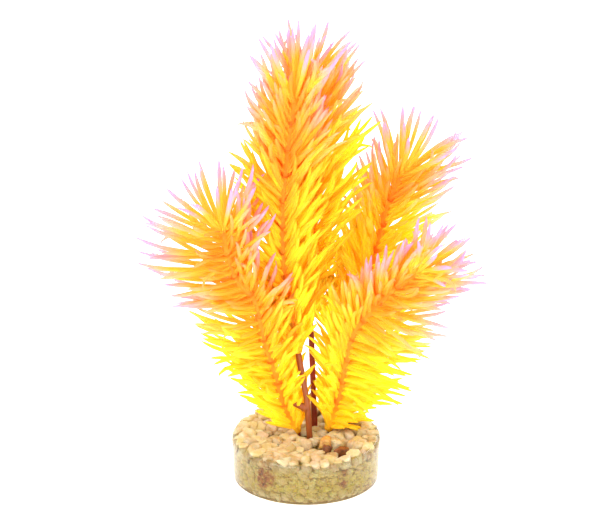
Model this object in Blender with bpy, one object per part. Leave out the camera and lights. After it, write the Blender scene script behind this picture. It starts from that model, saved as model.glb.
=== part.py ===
"""Soft plastic cabomba on a round gravel base, as the pieces it is put together from.

A shallow dish of clear resin holds a bed of cream pebbles, with three loose stones on top.
Five brown rods stand in sockets in the bed. Leaf whorls are threaded on each rod, one above
the other: a whorl is a six-sided hub with twelve needle leaves fused round its foot, and the
top whorl of a rod closes over the rod's end and carries a fan of six more.

Units are metres, +Z is up, and the origin is the centre of the dish's flat underside.
"""

import math
from dataclasses import dataclass
from itertools import product

import bpy
import numpy as np
from mathutils import Vector
from mathutils.geometry import delaunay_2d_cdt

MM = 0.001
GAP = 0.3 * MM              # clearance between pieces that touch

# Clear resin dish
DISH_FOOT_RADIUS = 36.6 * MM
DISH_RIM_RADIUS = 37.5 * MM
DISH_HEIGHT = 18.4 * MM
DISH_WALL = 1.2 * MM
DISH_FLOOR = 1.5 * MM
DISH_CORNER = 2.0 * MM      # radius of the rounded edge round the underside
DISH_SIDES = 36

# Pebble bed
PEBBLE_SPACING = 6.3 * MM
PEBBLE_JITTER = 0.7 * MM
PEBBLE_RISE = (2.2 * MM, 3.6 * MM)
VALLEY_LEVEL = 18.6 * MM
RIM_LEVEL = (18.0 * MM, 19.3 * MM)
COLLAR_LEVEL = 19.2 * MM    # level of the gravel round a rod
SOCKET_FLOOR = 8.0 * MM
SOCKET_CLEARANCE = 0.5 * MM
BED_TOP = 20.0 * MM         # where a rod comes out of the gravel
BED_SEED = 11
PEBBLE_SPARE = 0.42         # room round a pebble's centre, as a share of the spacing
VALLEY_SPARE = 0.22         # room round a low point, as a share of the spacing
MERGE_DISTANCE = GAP / 10   # points of the bed nearer than this are one point

# Loose stones: centre x, centre y, half length, half width, height
STONE_SEAT = 18.2 * MM
STONE_CLEARANCE = 0.5 * MM
STONE_SIDES = 8
STONE_UNEVEN = 0.12
STONE_LOBES = 3
STONE_PROFILE = ((0.62, 0.0), (0.98, 0.35), (0.80, 0.78), (0.34, 1.0))   # size, level
LOOSE_STONES = {
    "amber_pebble": (9.5 * MM, -7.5 * MM, 2.9 * MM, 2.3 * MM, 4.6 * MM),
    "small_brown_pebble": (10.5 * MM, -15.0 * MM, 2.4 * MM, 1.9 * MM, 3.6 * MM),
    "large_brown_pebble": (17.5 * MM, -18.5 * MM, 3.4 * MM, 2.5 * MM, 3.8 * MM),
}

# Rods
ROD_SIDES = 6
ROD_RADIUS = 1.5 * MM
ROD_THREADED_RADIUS = 1.1 * MM
ROD_STATION = 11.0 * MM     # spacing of the bare rod's rings
ROD_TOP_DEPTH = 0.55        # share of the top whorl that the rod reaches into
STUB_ROD = "front"
STUB_LEVEL = (34.5 * MM, 38.0 * MM)
STUB_LENGTH = 6.5 * MM
STUB_RISE = math.radians(26)
STUB_KINK = 0.45            # share of its length at which it has reached its full section
STUB_WIDEN = 2.0            # its width, as a share of one side of the rod
STUB_TAPER = 0.9
STUB_REACH = 2.4 * MM       # radius of the round envelope that the needles keep out of
BARE_BARS = 3               # straight bars that stand for a bare rod when needles keep clear

# Whorls
HUB_SIDES = 6
HUB_CORNER = 60.0           # degrees from one corner of a hub to the next
HUB_RADIUS = 2.2 * MM
YELLOW_SHARE = 0.5          # share of a plume's whorls, from below, that are yellow
BORE_RADIUS = 1.46 * MM
LEAF_STRIP = 2.8 * MM       # height of the band that the needles grow from
WHORL_TURN = 15.0           # degrees that each whorl is turned from the one below

# Needle leaves
LEAF_TOP = 0.84             # length at a plume's top, as a share of its longest
LEAF_LONGEST = 3.0          # power of the share of the height, which puts the longest higher
LEAF_WIDTH = 2.3 * MM
LEAF_THICKNESS = 1.7 * MM
LEAF_LIFT = 14.0            # degrees steeper at a plume's two ends than halfway up
LEAF_BEND = (8.0, -16.0)    # degrees that a needle arches outwards at the foot, and added
LEAF_STAGGER = 8.0          # degrees that every second needle is raised, and the rest lowered
FAN_RISE = 64.0
FAN_BEND = -6.0
FAN_LENGTH = 34.0 * MM
LEAF_FLOOR = 24.6 * MM      # no needle reaches lower, so that they clear the pebbles
LEAF_ENVELOPE = (1.5 * MM, 1.3 * MM, 0.1 * MM)   # radius at root, middle and tip
FREE_PLAY = 0.3 * MM
STRAIGHT = 1e-6             # bend in radians that stands for none
PARALLEL = 1e-18            # keeps a division from zero where two segments are parallel

# What is tried where a needle has no room: the angles that it is swung sideways and raised
# by, in degrees, and the shares of its length. Small changes come first, and a shorter needle
# counts against a trial as much as a turn of SIZE_COST times TRIAL_STEP.
TRIAL_SWINGS = (0, -6, 6, -12, 12, -18, 18, -24, 24)
TRIAL_LIFTS = (0, 6, -6, 12, -12, 18, -18)
TRIAL_SIZES = (1.0, 0.88, 0.76, 0.64, 0.5)
TRIAL_STEP = 6
SIZE_COST = 12


@dataclass(frozen=True)
class Plume:
    """A rod and the whorls threaded on it.

    The axis is the rod's line above the bed, in millimetres. The rod is bare for a length
    above the bed. Leaves are the lengths of the plume's lowest and its longest needles, and
    rise is how far they stand above square to the rod, in degrees.
    """

    name: str
    rod: str
    axis: tuple
    bare: float
    whorls: int
    leaves: tuple
    rise: float


PLUMES = (
    Plume("front", "tan",
          ((1.8, 0.6, 20), (0.3, 0.7, 40), (-3.4, 0.9, 62), (-7.4, 1.1, 88),
           (-11.2, 1.4, 116), (-11.2, 1.5, 140), (-9.2, 1.8, 166), (-5.2, 2, 195)),
          bare=46 * MM, whorls=10, leaves=(24 * MM, 35 * MM), rise=45),
    Plume("left", "tan",
          ((-4.1, 7.5, 20), (-11, 4.3, 37), (-16.2, 1.2, 57), (-21.3, -2.4, 76),
           (-25, -5.3, 95), (-34.2, -8.6, 108), (-38, -11, 121), (-40, -13.5, 134)),
          bare=4.5 * MM, whorls=9, leaves=(23 * MM, 46 * MM), rise=36),
    Plume("right_front", "tan",
          ((11.2, 10, 20), (16, 4.8, 39), (19, 0.4, 58), (23.4, -4.4, 78),
           (32.5, -9.6, 92.5), (43, -14.2, 105), (53, -18, 114)),
          bare=5 * MM, whorls=8, leaves=(30 * MM, 38 * MM), rise=34),
    Plume("rear", "russet",
          ((4.5, 13.8, 20), (3.6, 14.6, 42), (2.7, 15.4, 67), (1.5, 16.3, 92),
           (2.6, 17.2, 117), (2.9, 18, 142), (2.2, 18.9, 167), (0.8, 20, 197)),
          bare=57 * MM, whorls=9, leaves=(25 * MM, 36 * MM), rise=42),
    Plume("right_back", "russet",
          ((12.5, 20, 20), (17.2, 21.4, 43), (22.3, 23.2, 68), (29, 25, 92.5),
           (36, 26.8, 115.5), (40.2, 28, 133), (47, 29, 149)),
          bare=10 * MM, whorls=9, leaves=(28 * MM, 37 * MM), rise=38),
)

# Material name: base colour, roughness, transmission
FINISHES = {
    "clear_resin": ((0.80, 0.84, 0.72, 1), 0.08, 0.9),
    "cream_gravel": ((0.76, 0.64, 0.45, 1), 0.75, 0.0),
    "amber_stone": ((0.72, 0.42, 0.12, 1), 0.5, 0.0),
    "brown_stone": ((0.20, 0.08, 0.03, 1), 0.7, 0.0),
    "tan": ((0.40, 0.13, 0.03, 1), 0.4, 0.0),
    "russet": ((0.24, 0.035, 0.01, 1), 0.4, 0.0),
    "yellow_leaf": ((1.0, 0.72, 0.01, 1), 0.4, 0.0),
    "orange_leaf": ((1.0, 0.38, 0.02, 1), 0.4, 0.0),
}


def clear_scene():
    """Remove whatever objects the open file holds."""
    for item in list(bpy.data.objects):
        bpy.data.objects.remove(item, do_unlink=True)


def make_finishes():
    """One Principled material for each finish."""
    finishes = {}
    for name, (colour, roughness, transmission) in FINISHES.items():
        material = bpy.data.materials.new(name)
        material.use_nodes = True
        shader = material.node_tree.nodes["Principled BSDF"]
        shader.inputs["Base Color"].default_value = colour
        shader.inputs["Roughness"].default_value = roughness
        shader.inputs["Metallic"].default_value = 0.0
        shader.inputs["Transmission Weight"].default_value = transmission
        material.diffuse_color = colour
        finishes[name] = material
    return finishes


def make_object(name, points, faces, material):
    """A named object with its own mesh and material."""
    mesh = bpy.data.meshes.new(name)
    mesh.from_pydata([tuple(point) for point in points], [], faces)
    mesh.materials.append(material)
    mesh.update()
    item = bpy.data.objects.new(name, mesh)
    bpy.context.scene.collection.objects.link(item)
    return item


def ring_points(radius, level, sides=DISH_SIDES):
    """Points of a level regular polygon round the Z axis."""
    angles = np.arange(sides) * 2 * math.pi / sides
    return np.stack([radius * np.cos(angles), radius * np.sin(angles),
                     np.full(sides, level)], axis=-1)


def join_rings(first, second, sides):
    """Quads between two rings of point numbers that start at first and second."""
    return [(first + i, first + (i + 1) % sides, second + (i + 1) % sides, second + i)
            for i in range(sides)]


def wall_radius(level):
    """Outer radius of the dish, which leans out evenly from foot to rim."""
    return DISH_FOOT_RADIUS + (DISH_RIM_RADIUS - DISH_FOOT_RADIUS) * level / DISH_HEIGHT


def make_dish(material):
    """The dish: a turned profile, up the outside, over the rim and down the inside."""
    corner = [(wall_radius(0) - DISH_CORNER * (1 - math.sin(turn)),
               DISH_CORNER * (1 - math.cos(turn)))
              for turn in (0, math.pi / 4, math.pi / 2)]
    profile = corner + [
        (DISH_RIM_RADIUS, DISH_HEIGHT),
        (DISH_RIM_RADIUS - DISH_WALL, DISH_HEIGHT),
        (wall_radius(DISH_FLOOR) - DISH_WALL, DISH_FLOOR),
    ]
    points = np.concatenate([ring_points(radius, level) for radius, level in profile])
    faces = [tuple(reversed(range(DISH_SIDES)))]
    for step in range(len(profile) - 1):
        faces += join_rings(step * DISH_SIDES, (step + 1) * DISH_SIDES, DISH_SIDES)
    last = (len(profile) - 1) * DISH_SIDES
    faces.append(tuple(range(last, last + DISH_SIDES)))
    return make_object("resin_base", points, faces, material)


def socket_outline(x, y):
    """Hexagonal mouth of the socket that a rod stands in."""
    return ring_points(ROD_RADIUS + SOCKET_CLEARANCE, 0, ROD_SIDES)[:, :2] + (x, y)


def seat_outline(x, y, half_length, half_width):
    """Eight-sided seat of a loose stone."""
    unit = ring_points(1.0, 0, STONE_SIDES)[:, :2]
    return unit * (half_length + STONE_CLEARANCE, half_width + STONE_CLEARANCE) + (x, y)


def pebble_sites(outlines, rng):
    """Pebble centres and the low points between them, on a shaken triangular lattice.

    Sites that fall in or near a socket or seat, or too near the rim, are left out.
    """
    reach = bed_radius(COLLAR_LEVEL)
    count = int(reach / PEBBLE_SPACING) + 1
    row_height = PEBBLE_SPACING * math.sqrt(3) / 2
    centres, valleys = [], []
    for row in range(-count - 1, count + 2):
        for column in range(-count - 1, count + 2):
            corner = np.array([(column + (row % 2) / 2) * PEBBLE_SPACING, row * row_height])
            shake = rng.uniform(-1, 1, (3, 2)) * PEBBLE_JITTER
            centres.append(corner + shake[0])
            valleys.append(corner + (0, row_height * 2 / 3) + shake[1] / 2)
            valleys.append(corner + (PEBBLE_SPACING / 2, row_height / 3) + shake[2] / 2)
    keep_centre = PEBBLE_SPACING * PEBBLE_SPARE
    keep_valley = PEBBLE_SPACING * VALLEY_SPARE
    return (clear_sites(centres, outlines, reach - keep_centre, keep_centre),
            clear_sites(valleys, outlines, reach - keep_valley, keep_valley))


def clear_sites(sites, outlines, reach, spare):
    """The sites inside the reach and clear of each outline by the spare distance."""
    kept = []
    for site in sites:
        if np.hypot(*site) > reach:
            continue
        middles = [outline.mean(axis=0) for outline in outlines]
        sizes = [np.hypot(*(outline - middle).T).max()
                 for outline, middle in zip(outlines, middles)]
        if all(np.hypot(*(site - middle)) > size + spare
               for middle, size in zip(middles, sizes)):
            kept.append(site)
    return kept


def bed_radius(level):
    """Radius of the bed at a level, just inside the dish's wall."""
    return wall_radius(min(level, DISH_HEIGHT)) - DISH_WALL - GAP


def make_bed(material):
    """The pebble bed: a disc with pebbles as low pyramids, sockets and stone seats."""
    rng = np.random.default_rng(BED_SEED)
    sockets = [socket_outline(plume.axis[0][0] * MM, plume.axis[0][1] * MM)
               for plume in PLUMES]
    seats = [seat_outline(x, y, length, width)
             for x, y, length, width, _ in LOOSE_STONES.values()]
    centres, valleys = pebble_sites(sockets + seats, rng)
    rim = ring_points(bed_radius(DISH_HEIGHT), 0)[:, :2]
    flat = list(rim) + centres + valleys
    levels = list(rng.uniform(*RIM_LEVEL, len(rim)))
    levels += list(VALLEY_LEVEL + rng.uniform(*PEBBLE_RISE, len(centres)))
    levels += [VALLEY_LEVEL] * len(valleys)
    holes = []
    for outline in sockets + seats:
        holes.append(range(len(flat), len(flat) + len(outline)))
        flat += list(outline)
        levels += [COLLAR_LEVEL] * len(outline)
    edges = [(hole[i - 1], hole[i]) for hole in holes for i in range(len(hole))]
    result = delaunay_2d_cdt([Vector(site) for site in flat], edges, [], 0, MERGE_DISTANCE)
    faces = [tuple(face) for face in result[2]
             if not any(set(face) <= set(hole) for hole in holes)]
    points = [(x, y, level) for (x, y), level in zip(flat, levels)]
    depths = [SOCKET_FLOOR] * len(sockets) + [STONE_SEAT] * len(seats)
    for hole, depth in zip(holes, depths):
        start = len(points)
        points += [(*flat[i], depth) for i in hole]
        faces += [(hole[i], hole[(i + 1) % len(hole)], start + (i + 1) % len(hole), start + i)
                  for i in range(len(hole))]
        faces.append(tuple(range(start, len(points))))
    underside = DISH_FLOOR + GAP
    foot = len(points)
    points += [tuple(point) for point in ring_points(bed_radius(underside), underside)]
    faces += join_rings(foot, 0, DISH_SIDES)
    faces.append(tuple(reversed(range(foot, foot + DISH_SIDES))))
    return make_object("gravel_bed", points, faces, material)


def make_stone(name, material):
    """A loose stone: a flat-footed, round-topped pebble of eight uneven sides."""
    x, y, half_length, half_width, height = LOOSE_STONES[name]
    outline = ring_points(1.0, 0, STONE_SIDES)[:, :2]
    uneven = 1 - STONE_UNEVEN * np.cos(STONE_LOBES * np.arange(STONE_SIDES))[:, None] ** 2
    points = []
    for size, level in STONE_PROFILE:
        sides = outline * uneven * size * (half_length, half_width) + (x, y)
        points += [(*side, STONE_SEAT + GAP + level * height) for side in sides]
    faces = [tuple(reversed(range(STONE_SIDES)))]
    for step in range(len(STONE_PROFILE) - 1):
        faces += join_rings(step * STONE_SIDES, (step + 1) * STONE_SIDES, STONE_SIDES)
    faces.append(tuple(range(len(points) - STONE_SIDES, len(points))))
    return make_object(name, points, faces, material)


class Axis:
    """A smooth line through a plume's points, read by the length along it from the bed."""

    SAMPLES = 24

    def __init__(self, points):
        knots = np.array(points, float) * MM
        knots = np.vstack([2 * knots[0] - knots[1], knots, 2 * knots[-1] - knots[-2]])
        share = np.linspace(0, 1, self.SAMPLES, endpoint=False)[:, None]
        spans = []
        for a, b, c, d in zip(knots, knots[1:], knots[2:], knots[3:]):
            spans.append(b + share * (c - a) / 2 + share ** 2 * (a - 2.5 * b + 2 * c - d / 2)
                         + share ** 3 * (1.5 * (b - c) + (d - a) / 2))
        self.line = np.vstack(spans + [knots[-2:-1]])
        steps = np.linalg.norm(np.diff(self.line, axis=0), axis=1)
        self.reach = np.concatenate([[0], np.cumsum(steps)])
        self.length = self.reach[-1]

    def point(self, along):
        """The point at a length along the line."""
        return np.array([np.interp(along, self.reach, self.line[:, k]) for k in range(3)])

    def frame(self, along):
        """Unit vectors at a length along the line: two across it, then one along it."""
        ahead = self.point(min(along + MM, self.length))
        behind = self.point(max(along - MM, 0))
        forward = (ahead - behind) / np.linalg.norm(ahead - behind)
        across = np.cross((0, 1, 0), forward)
        across /= np.linalg.norm(across)
        return across, np.cross(forward, across), forward

    def ring(self, along, radius, phase=0.0, sides=HUB_SIDES):
        """A polygon square to the line, its first corner turned by phase degrees."""
        across, upright, _ = self.frame(along)
        angles = np.radians(phase) + np.arange(sides) * 2 * math.pi / sides
        return (self.point(along) + radius * np.cos(angles)[:, None] * across
                + radius * np.sin(angles)[:, None] * upright)


def whorl_joints(plume, axis):
    """Lengths along the rod at which one whorl ends and the next begins."""
    return np.linspace(plume.bare, axis.length, plume.whorls + 1)


def rod_top(plume, axis):
    """Length along the axis at which the rod ends, inside the top whorl."""
    joints = whorl_joints(plume, axis)
    return joints[-2] + ROD_TOP_DEPTH * (joints[-1] - joints[-2])


def make_rod(plume, axis, material):
    """The rod: bare from its socket to a shoulder, then thinner up through the whorls."""
    bare_count = max(2, round(plume.bare / ROD_STATION) + 1)
    stations = [(along, ROD_RADIUS) for along in np.linspace(0, plume.bare, bare_count)]
    if plume.name == STUB_ROD:
        stations = add_stub_stations(stations, axis)
    stations.append((plume.bare, ROD_THREADED_RADIUS))
    stations += [(along, ROD_THREADED_RADIUS) for along in whorl_joints(plume, axis)[1:-1]]
    stations.append((rod_top(plume, axis), ROD_THREADED_RADIUS))
    foot = axis.ring(0, ROD_RADIUS)
    foot[:, 2] = SOCKET_FLOOR + GAP
    points = [foot] + [axis.ring(along, radius) for along, radius in stations]
    faces = [tuple(reversed(range(ROD_SIDES)))]
    for step in range(len(stations)):
        faces += join_rings(step * ROD_SIDES, (step + 1) * ROD_SIDES, ROD_SIDES)
    last = len(stations) * ROD_SIDES
    faces.append(tuple(range(last, last + ROD_SIDES)))
    points = list(np.concatenate(points))
    if plume.name == STUB_ROD:
        points, faces = grow_stub(points, faces)
    return make_object(plume.name + "_rod", points, faces, material)


def add_stub_stations(stations, axis):
    """Rings at the foot and head of the stub, in place of the one that falls between."""
    levels = axis.line[:, 2]
    ends = [float(np.interp(level, levels, axis.reach)) for level in STUB_LEVEL]
    spare = ROD_STATION / 4
    kept = [item for item in stations if not ends[0] - spare < item[0] < ends[1] + spare]
    return sorted(kept + [(end, ROD_RADIUS) for end in ends])


def stub_direction():
    """Unit vector along the stub, out to the left and up."""
    return np.array([-math.cos(STUB_RISE), 0, math.sin(STUB_RISE)])


def grow_stub(points, faces):
    """The short cut-off side peg, grown from the rod's left face between two rings."""
    def leftness(face):
        corners = np.array([points[i] for i in face])
        inside = STUB_LEVEL[0] < corners[:, 2].mean() < STUB_LEVEL[1]
        return corners[:, 0].mean() if inside and len(face) == 4 else math.inf

    root = min(faces, key=leftness)
    faces = [face for face in faces if face != root]
    corners = np.array([points[i] for i in root])
    middle = corners.mean(axis=0)
    spread = (corners - middle) * (1, STUB_WIDEN, STUB_TAPER)
    start = len(points)
    for share in (STUB_KINK, 1.0):
        points += list(middle + stub_direction() * STUB_LENGTH * share + spread)
    first = [start + i for i in range(4)]
    second = [start + 4 + i for i in range(4)]
    for inner, outer in ((list(root), first), (first, second)):
        faces += [(inner[i], inner[(i + 1) % 4], outer[(i + 1) % 4], outer[i]) for i in range(4)]
    faces.append(tuple(second))
    return points, faces


def needle_curve(root, radial, forward, rise, bend, length, share):
    """The point at a share of a needle's length.

    The needle leaves its root at an angle of rise above square to the rod and turns outwards
    by bend along its length at an even rate, which is an arc of a circle in the plane of the
    radial and forward directions.
    """
    start = math.radians(rise)
    turn = math.radians(bend) or STRAIGHT
    here = start - turn * share
    out = (math.sin(start) - math.sin(here)) * length / turn
    up = (math.cos(here) - math.cos(start)) * length / turn
    return root + radial * out + forward * up


def nearest_shares(start, end, starts, ends):
    """Where one straight segment comes nearest to each of many.

    Returns the share along the one, the share along each of the many, and the distances.
    """
    along, alongs = end - start, ends - starts
    offset = start - starts
    a, e = along @ along, np.einsum("ij,ij->i", alongs, alongs)
    b, c = alongs @ along, offset @ along
    f = np.einsum("ij,ij->i", alongs, offset)
    spread = np.maximum(a * e - b * b, PARALLEL)
    here = np.clip((b * f - c * e) / spread, 0, 1)
    there = np.clip((b * here + f) / e, 0, 1)
    here = np.clip((b * there - c) / a, 0, 1)
    apart = offset + here[:, None] * along - there[:, None] * alongs
    return here, there, np.linalg.norm(apart, axis=1)


class Thicket:
    """Everything placed so far as tapered bars, so that new needles can keep clear."""

    def __init__(self):
        self.bars, self.owners = [], []

    def add(self, start, end, start_size, end_size, owner):
        """Take in one bar, with the radius at each of its ends."""
        self.bars.append((*start, *end, start_size, end_size))
        self.owners.append(owner)

    def freeze(self):
        """Hold the bars as arrays for the next whorl's needles."""
        self.held = np.array(self.bars)
        self.held_owners = np.array(self.owners)

    def is_clear(self, curve, plume_name):
        """Whether a needle clears the pebbles and every bar.

        Its inner half starts from its own rod, so that half isn't held against that rod.
        """
        if min(point[2] for point in curve[1:]) < LEAF_FLOOR:
            return False
        for step, (start, end) in enumerate(zip(curve, curve[1:])):
            bars = self.held[self.held_owners != plume_name] if step == 0 else self.held
            here, there, gaps = nearest_shares(start, end, bars[:, 0:3], bars[:, 3:6])
            own = LEAF_ENVELOPE[step] + here * (LEAF_ENVELOPE[step + 1] - LEAF_ENVELOPE[step])
            theirs = bars[:, 6] + there * (bars[:, 7] - bars[:, 6])
            if np.any(gaps < own + theirs + FREE_PLAY):
                return False
        return True


def leaf_trials():
    """Each swing sideways, change of rise and share of the length, in the order tried."""
    def cost(trial):
        swing, lift, size = trial
        return (abs(swing) + abs(lift)) / TRIAL_STEP + (1 - size) * SIZE_COST

    return sorted(product(TRIAL_SWINGS, TRIAL_LIFTS, TRIAL_SIZES), key=cost)


@dataclass(frozen=True)
class Needle:
    """A needle to grow: its root triangle, by point numbers, and how it leaves the hub.

    point_up says whether the root's single corner is at its top or at its bottom. Angles are
    in degrees.
    """

    root: tuple
    azimuth: float
    point_up: bool
    rise: float
    bend: float
    length: float


def fit_needle(thicket, plume_name, start, frame, needle):
    """A needle's root, middle and tip, moved or shortened until it is clear, or None."""
    across, upright, forward = frame
    for swing, lift, size in leaf_trials():
        angle = math.radians(needle.azimuth + swing)
        radial = across * math.cos(angle) + upright * math.sin(angle)
        curve = [needle_curve(start, radial, forward, needle.rise + lift, needle.bend,
                              needle.length * size, share) for share in (0.0, 0.5, 1.0)]
        if thicket.is_clear(curve, plume_name):
            return curve, radial
    return None


def grow_needle(points, faces, needle, curve, radial, forward):
    """Fuse a three-sided needle to its root triangle: a girdle at its middle, then a tip."""
    _, middle, tip = curve
    heading = (tip - middle) / np.linalg.norm(tip - middle)
    side = np.cross(forward, radial)
    lift = np.cross(heading, side)
    half, third = side * LEAF_WIDTH / 2, lift * LEAF_THICKNESS / 3
    if needle.point_up:
        girdle = [middle - half - third, middle + half - third, middle + 2 * third]
    else:
        girdle = [middle - half + third, middle - 2 * third, middle + half + third]
    start = len(points)
    points += girdle + [tip]
    for i in range(3):
        near, far = needle.root[i], needle.root[(i + 1) % 3]
        near_up, far_up = start + i, start + (i + 1) % 3
        faces += [(near, far, far_up), (near, far_up, near_up), (near_up, far_up, start + 3)]


def flat_ring(outer, inner, twist):
    """Triangles between two level hexagons, the outer one turned by twist degrees."""
    faces = []
    for i in range(HUB_SIDES):
        j = (i + 1) % HUB_SIDES
        if twist >= 0:
            faces += [(outer[i], outer[j], inner[j]), (outer[i], inner[j], inner[i])]
        else:
            faces += [(outer[i], outer[j], inner[i]), (outer[j], inner[j], inner[i])]
    return faces


def nearest_turn(phase):
    """A hexagon's phase brought between -30 and 30, and the corners it is moved by."""
    steps = round(phase / HUB_CORNER)
    return phase - steps * HUB_CORNER, steps


def make_hub(axis, foot, head, bore_end, phase):
    """A whorl's hub without the faces that needles grow from.

    Its foot is a band of triangles between two hexagons, the upper one turned half a corner,
    and a plain prism stands on that. Inside is a straight bore, closed at its end where that
    lies below the head. Returns the points, the faces, the corners of the head, and the band's
    triangles as roots with their azimuths and whether each points up.
    """
    turned = phase + HUB_CORNER / 2
    strip = LEAF_STRIP / (head - foot)
    head_ring = axis.ring(head, HUB_RADIUS, turned)
    band_ring = axis.ring(foot, HUB_RADIUS, turned) * (1 - strip) + head_ring * strip
    points = list(np.concatenate([axis.ring(foot, HUB_RADIUS, phase), band_ring, head_ring,
                                  axis.ring(foot, BORE_RADIUS),
                                  axis.ring(bore_end, BORE_RADIUS)]))
    lower, middle, upper, bore_foot, bore_head = (
        [step * HUB_SIDES + i for i in range(HUB_SIDES)] for step in range(5))
    faces, roots = [], []
    for i in range(HUB_SIDES):
        j = (i + 1) % HUB_SIDES
        roots.append(((lower[i], lower[j], middle[i]), turned + HUB_CORNER * i, True))
        roots.append(((middle[i], lower[j], middle[j]), phase + HUB_CORNER * j, False))
        faces.append((middle[i], middle[j], upper[j], upper[i]))
        faces.append((bore_foot[j], bore_foot[i], bore_head[i], bore_head[j]))
    faces += [face[::-1] for face in flat_ring(lower, bore_foot, phase)]
    if bore_end < head:
        faces.append(tuple(reversed(bore_head)))
    else:
        twist, steps = nearest_turn(turned)
        shifted = [upper[(i - steps) % HUB_SIDES] for i in range(HUB_SIDES)]
        faces += flat_ring(shifted, bore_head, twist)
    return points, faces, upper, roots


def plan_needles(plume, number, roots):
    """The needles of a whorl's band, by how far up its plume the whorl is.

    Needles are longest some way above the middle of a plume and shorter at its ends. They
    stand steepest at its ends, and arch outwards low down and inwards high up.
    """
    share = number / (plume.whorls - 1)
    lowest, longest = plume.leaves
    plain = lowest + (longest * LEAF_TOP - lowest) * share
    length = plain + (longest - plain) * math.sin(math.pi * share ** LEAF_LONGEST)
    rise = plume.rise + LEAF_LIFT * (1 - math.sin(math.pi * share))
    bend = LEAF_BEND[0] + LEAF_BEND[1] * share
    return [Needle(root, azimuth, point_up,
                   rise + (LEAF_STAGGER if point_up else -LEAF_STAGGER), bend, length)
            for root, azimuth, point_up in roots]


def plan_fan(upper, centre, phase):
    """The six needles that a plume's closed top carries, round its centre point."""
    return [Needle((upper[i], upper[(i + 1) % HUB_SIDES], centre),
                   phase + HUB_CORNER * (i + 1), True, FAN_RISE, FAN_BEND, FAN_LENGTH)
            for i in range(HUB_SIDES)]


def make_whorl(plume, number, axis, thicket, material):
    """One whorl: its hub with a bore for the rod, and the needles that there is room for."""
    joints = whorl_joints(plume, axis)
    foot, head = joints[number] + GAP / 2, joints[number + 1] - GAP / 2
    is_top = number == plume.whorls - 1
    bore_end = rod_top(plume, axis) + GAP if is_top else head
    phase = nearest_turn(number * WHORL_TURN)[0]
    points, faces, upper, roots = make_hub(axis, foot, head, bore_end, phase)
    needles = plan_needles(plume, number, roots)
    if is_top:
        points.append(axis.point(head))
        needles += plan_fan(upper, len(points) - 1, phase)

    frame = axis.frame(foot + LEAF_STRIP / 2)
    curves = []
    for needle in needles:
        start = np.mean([points[i] for i in needle.root], axis=0)
        fitted = fit_needle(thicket, plume.name, start, frame, needle)
        if fitted is None:
            faces.append(needle.root)
            continue
        curve, radial = fitted
        grow_needle(points, faces, needle, curve, radial, frame[2])
        curves.append(curve)
    name = f"{plume.name}_whorl_{number + 1:02d}"
    for curve in curves:
        for step, (begin, end) in enumerate(zip(curve, curve[1:])):
            thicket.add(begin, end, *LEAF_ENVELOPE[step:step + 2], name)
    thicket.freeze()
    return make_object(name, points, faces, material)


def plant_rods(axes):
    """A thicket that holds the rods, the hubs and the stub, before any needle grows."""
    thicket = Thicket()
    for plume in PLUMES:
        axis = axes[plume.name]
        bare_marks = np.linspace(0, plume.bare, BARE_BARS + 1)
        marks = np.concatenate([bare_marks, whorl_joints(plume, axis)[1:]])
        for low, high in zip(marks, marks[1:]):
            size = ROD_RADIUS if high <= plume.bare else HUB_RADIUS
            thicket.add(axis.point(low), axis.point(high), size, size, plume.name)
    stub_root = axes[STUB_ROD].point(sum(STUB_LEVEL) / 2 - BED_TOP)
    stub_end = stub_root + stub_direction() * (STUB_LENGTH + ROD_RADIUS)
    thicket.add(stub_root, stub_end, STUB_REACH, STUB_REACH, STUB_ROD)
    thicket.freeze()
    return thicket


def main():
    """Build every piece."""
    clear_scene()
    finishes = make_finishes()
    make_dish(finishes["clear_resin"])
    make_bed(finishes["cream_gravel"])
    for name in LOOSE_STONES:
        make_stone(name, finishes["amber_stone" if name.startswith("amber") else "brown_stone"])

    axes = {plume.name: Axis(plume.axis) for plume in PLUMES}
    thicket = plant_rods(axes)
    for plume in PLUMES:
        axis = axes[plume.name]
        make_rod(plume, axis, finishes[plume.rod])
        for number in range(plume.whorls):
            low_down = number < plume.whorls * YELLOW_SHARE
            make_whorl(plume, number, axis, thicket,
                       finishes["yellow_leaf" if low_down else "orange_leaf"])


if __name__ == "__main__":
    main()
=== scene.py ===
"""Looks of a soft plastic cabomba that stands on a round base of pebbles in clear resin.

Five plumes of fine needle leaves grow on brown rods. Every surface here is worked out with
numpy as a grid of points, round a line or along a profile, and stands in for a plain solid of
the frame. Units are metres, +Z is up, and the origin is the middle of the underside.
"""

import logging
import math
from dataclasses import dataclass, field
from enum import Enum
from functools import cached_property

import bpy
import numpy as np
from numpy.typing import NDArray
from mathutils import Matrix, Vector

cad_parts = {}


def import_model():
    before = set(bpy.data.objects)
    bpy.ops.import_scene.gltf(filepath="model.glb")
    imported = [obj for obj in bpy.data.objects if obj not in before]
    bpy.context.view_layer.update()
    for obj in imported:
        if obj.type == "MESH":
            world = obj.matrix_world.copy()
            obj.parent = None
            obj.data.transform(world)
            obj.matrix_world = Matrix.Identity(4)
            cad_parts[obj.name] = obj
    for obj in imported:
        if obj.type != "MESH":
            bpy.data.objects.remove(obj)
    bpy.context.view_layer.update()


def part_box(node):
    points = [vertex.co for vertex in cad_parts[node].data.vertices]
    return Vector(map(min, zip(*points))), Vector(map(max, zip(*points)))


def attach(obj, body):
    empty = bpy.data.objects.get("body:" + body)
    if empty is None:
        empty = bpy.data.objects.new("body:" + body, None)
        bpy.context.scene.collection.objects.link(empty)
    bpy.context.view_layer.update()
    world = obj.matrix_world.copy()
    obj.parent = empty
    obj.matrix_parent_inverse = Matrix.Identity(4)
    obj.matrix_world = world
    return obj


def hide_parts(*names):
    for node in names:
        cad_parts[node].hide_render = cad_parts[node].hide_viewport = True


MM = 0.001
BODY = "root"
FULL_TURN = 2 * math.pi
NEEDLE_MARKS = ("ripeness", "blush", "face", "shade")

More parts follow.
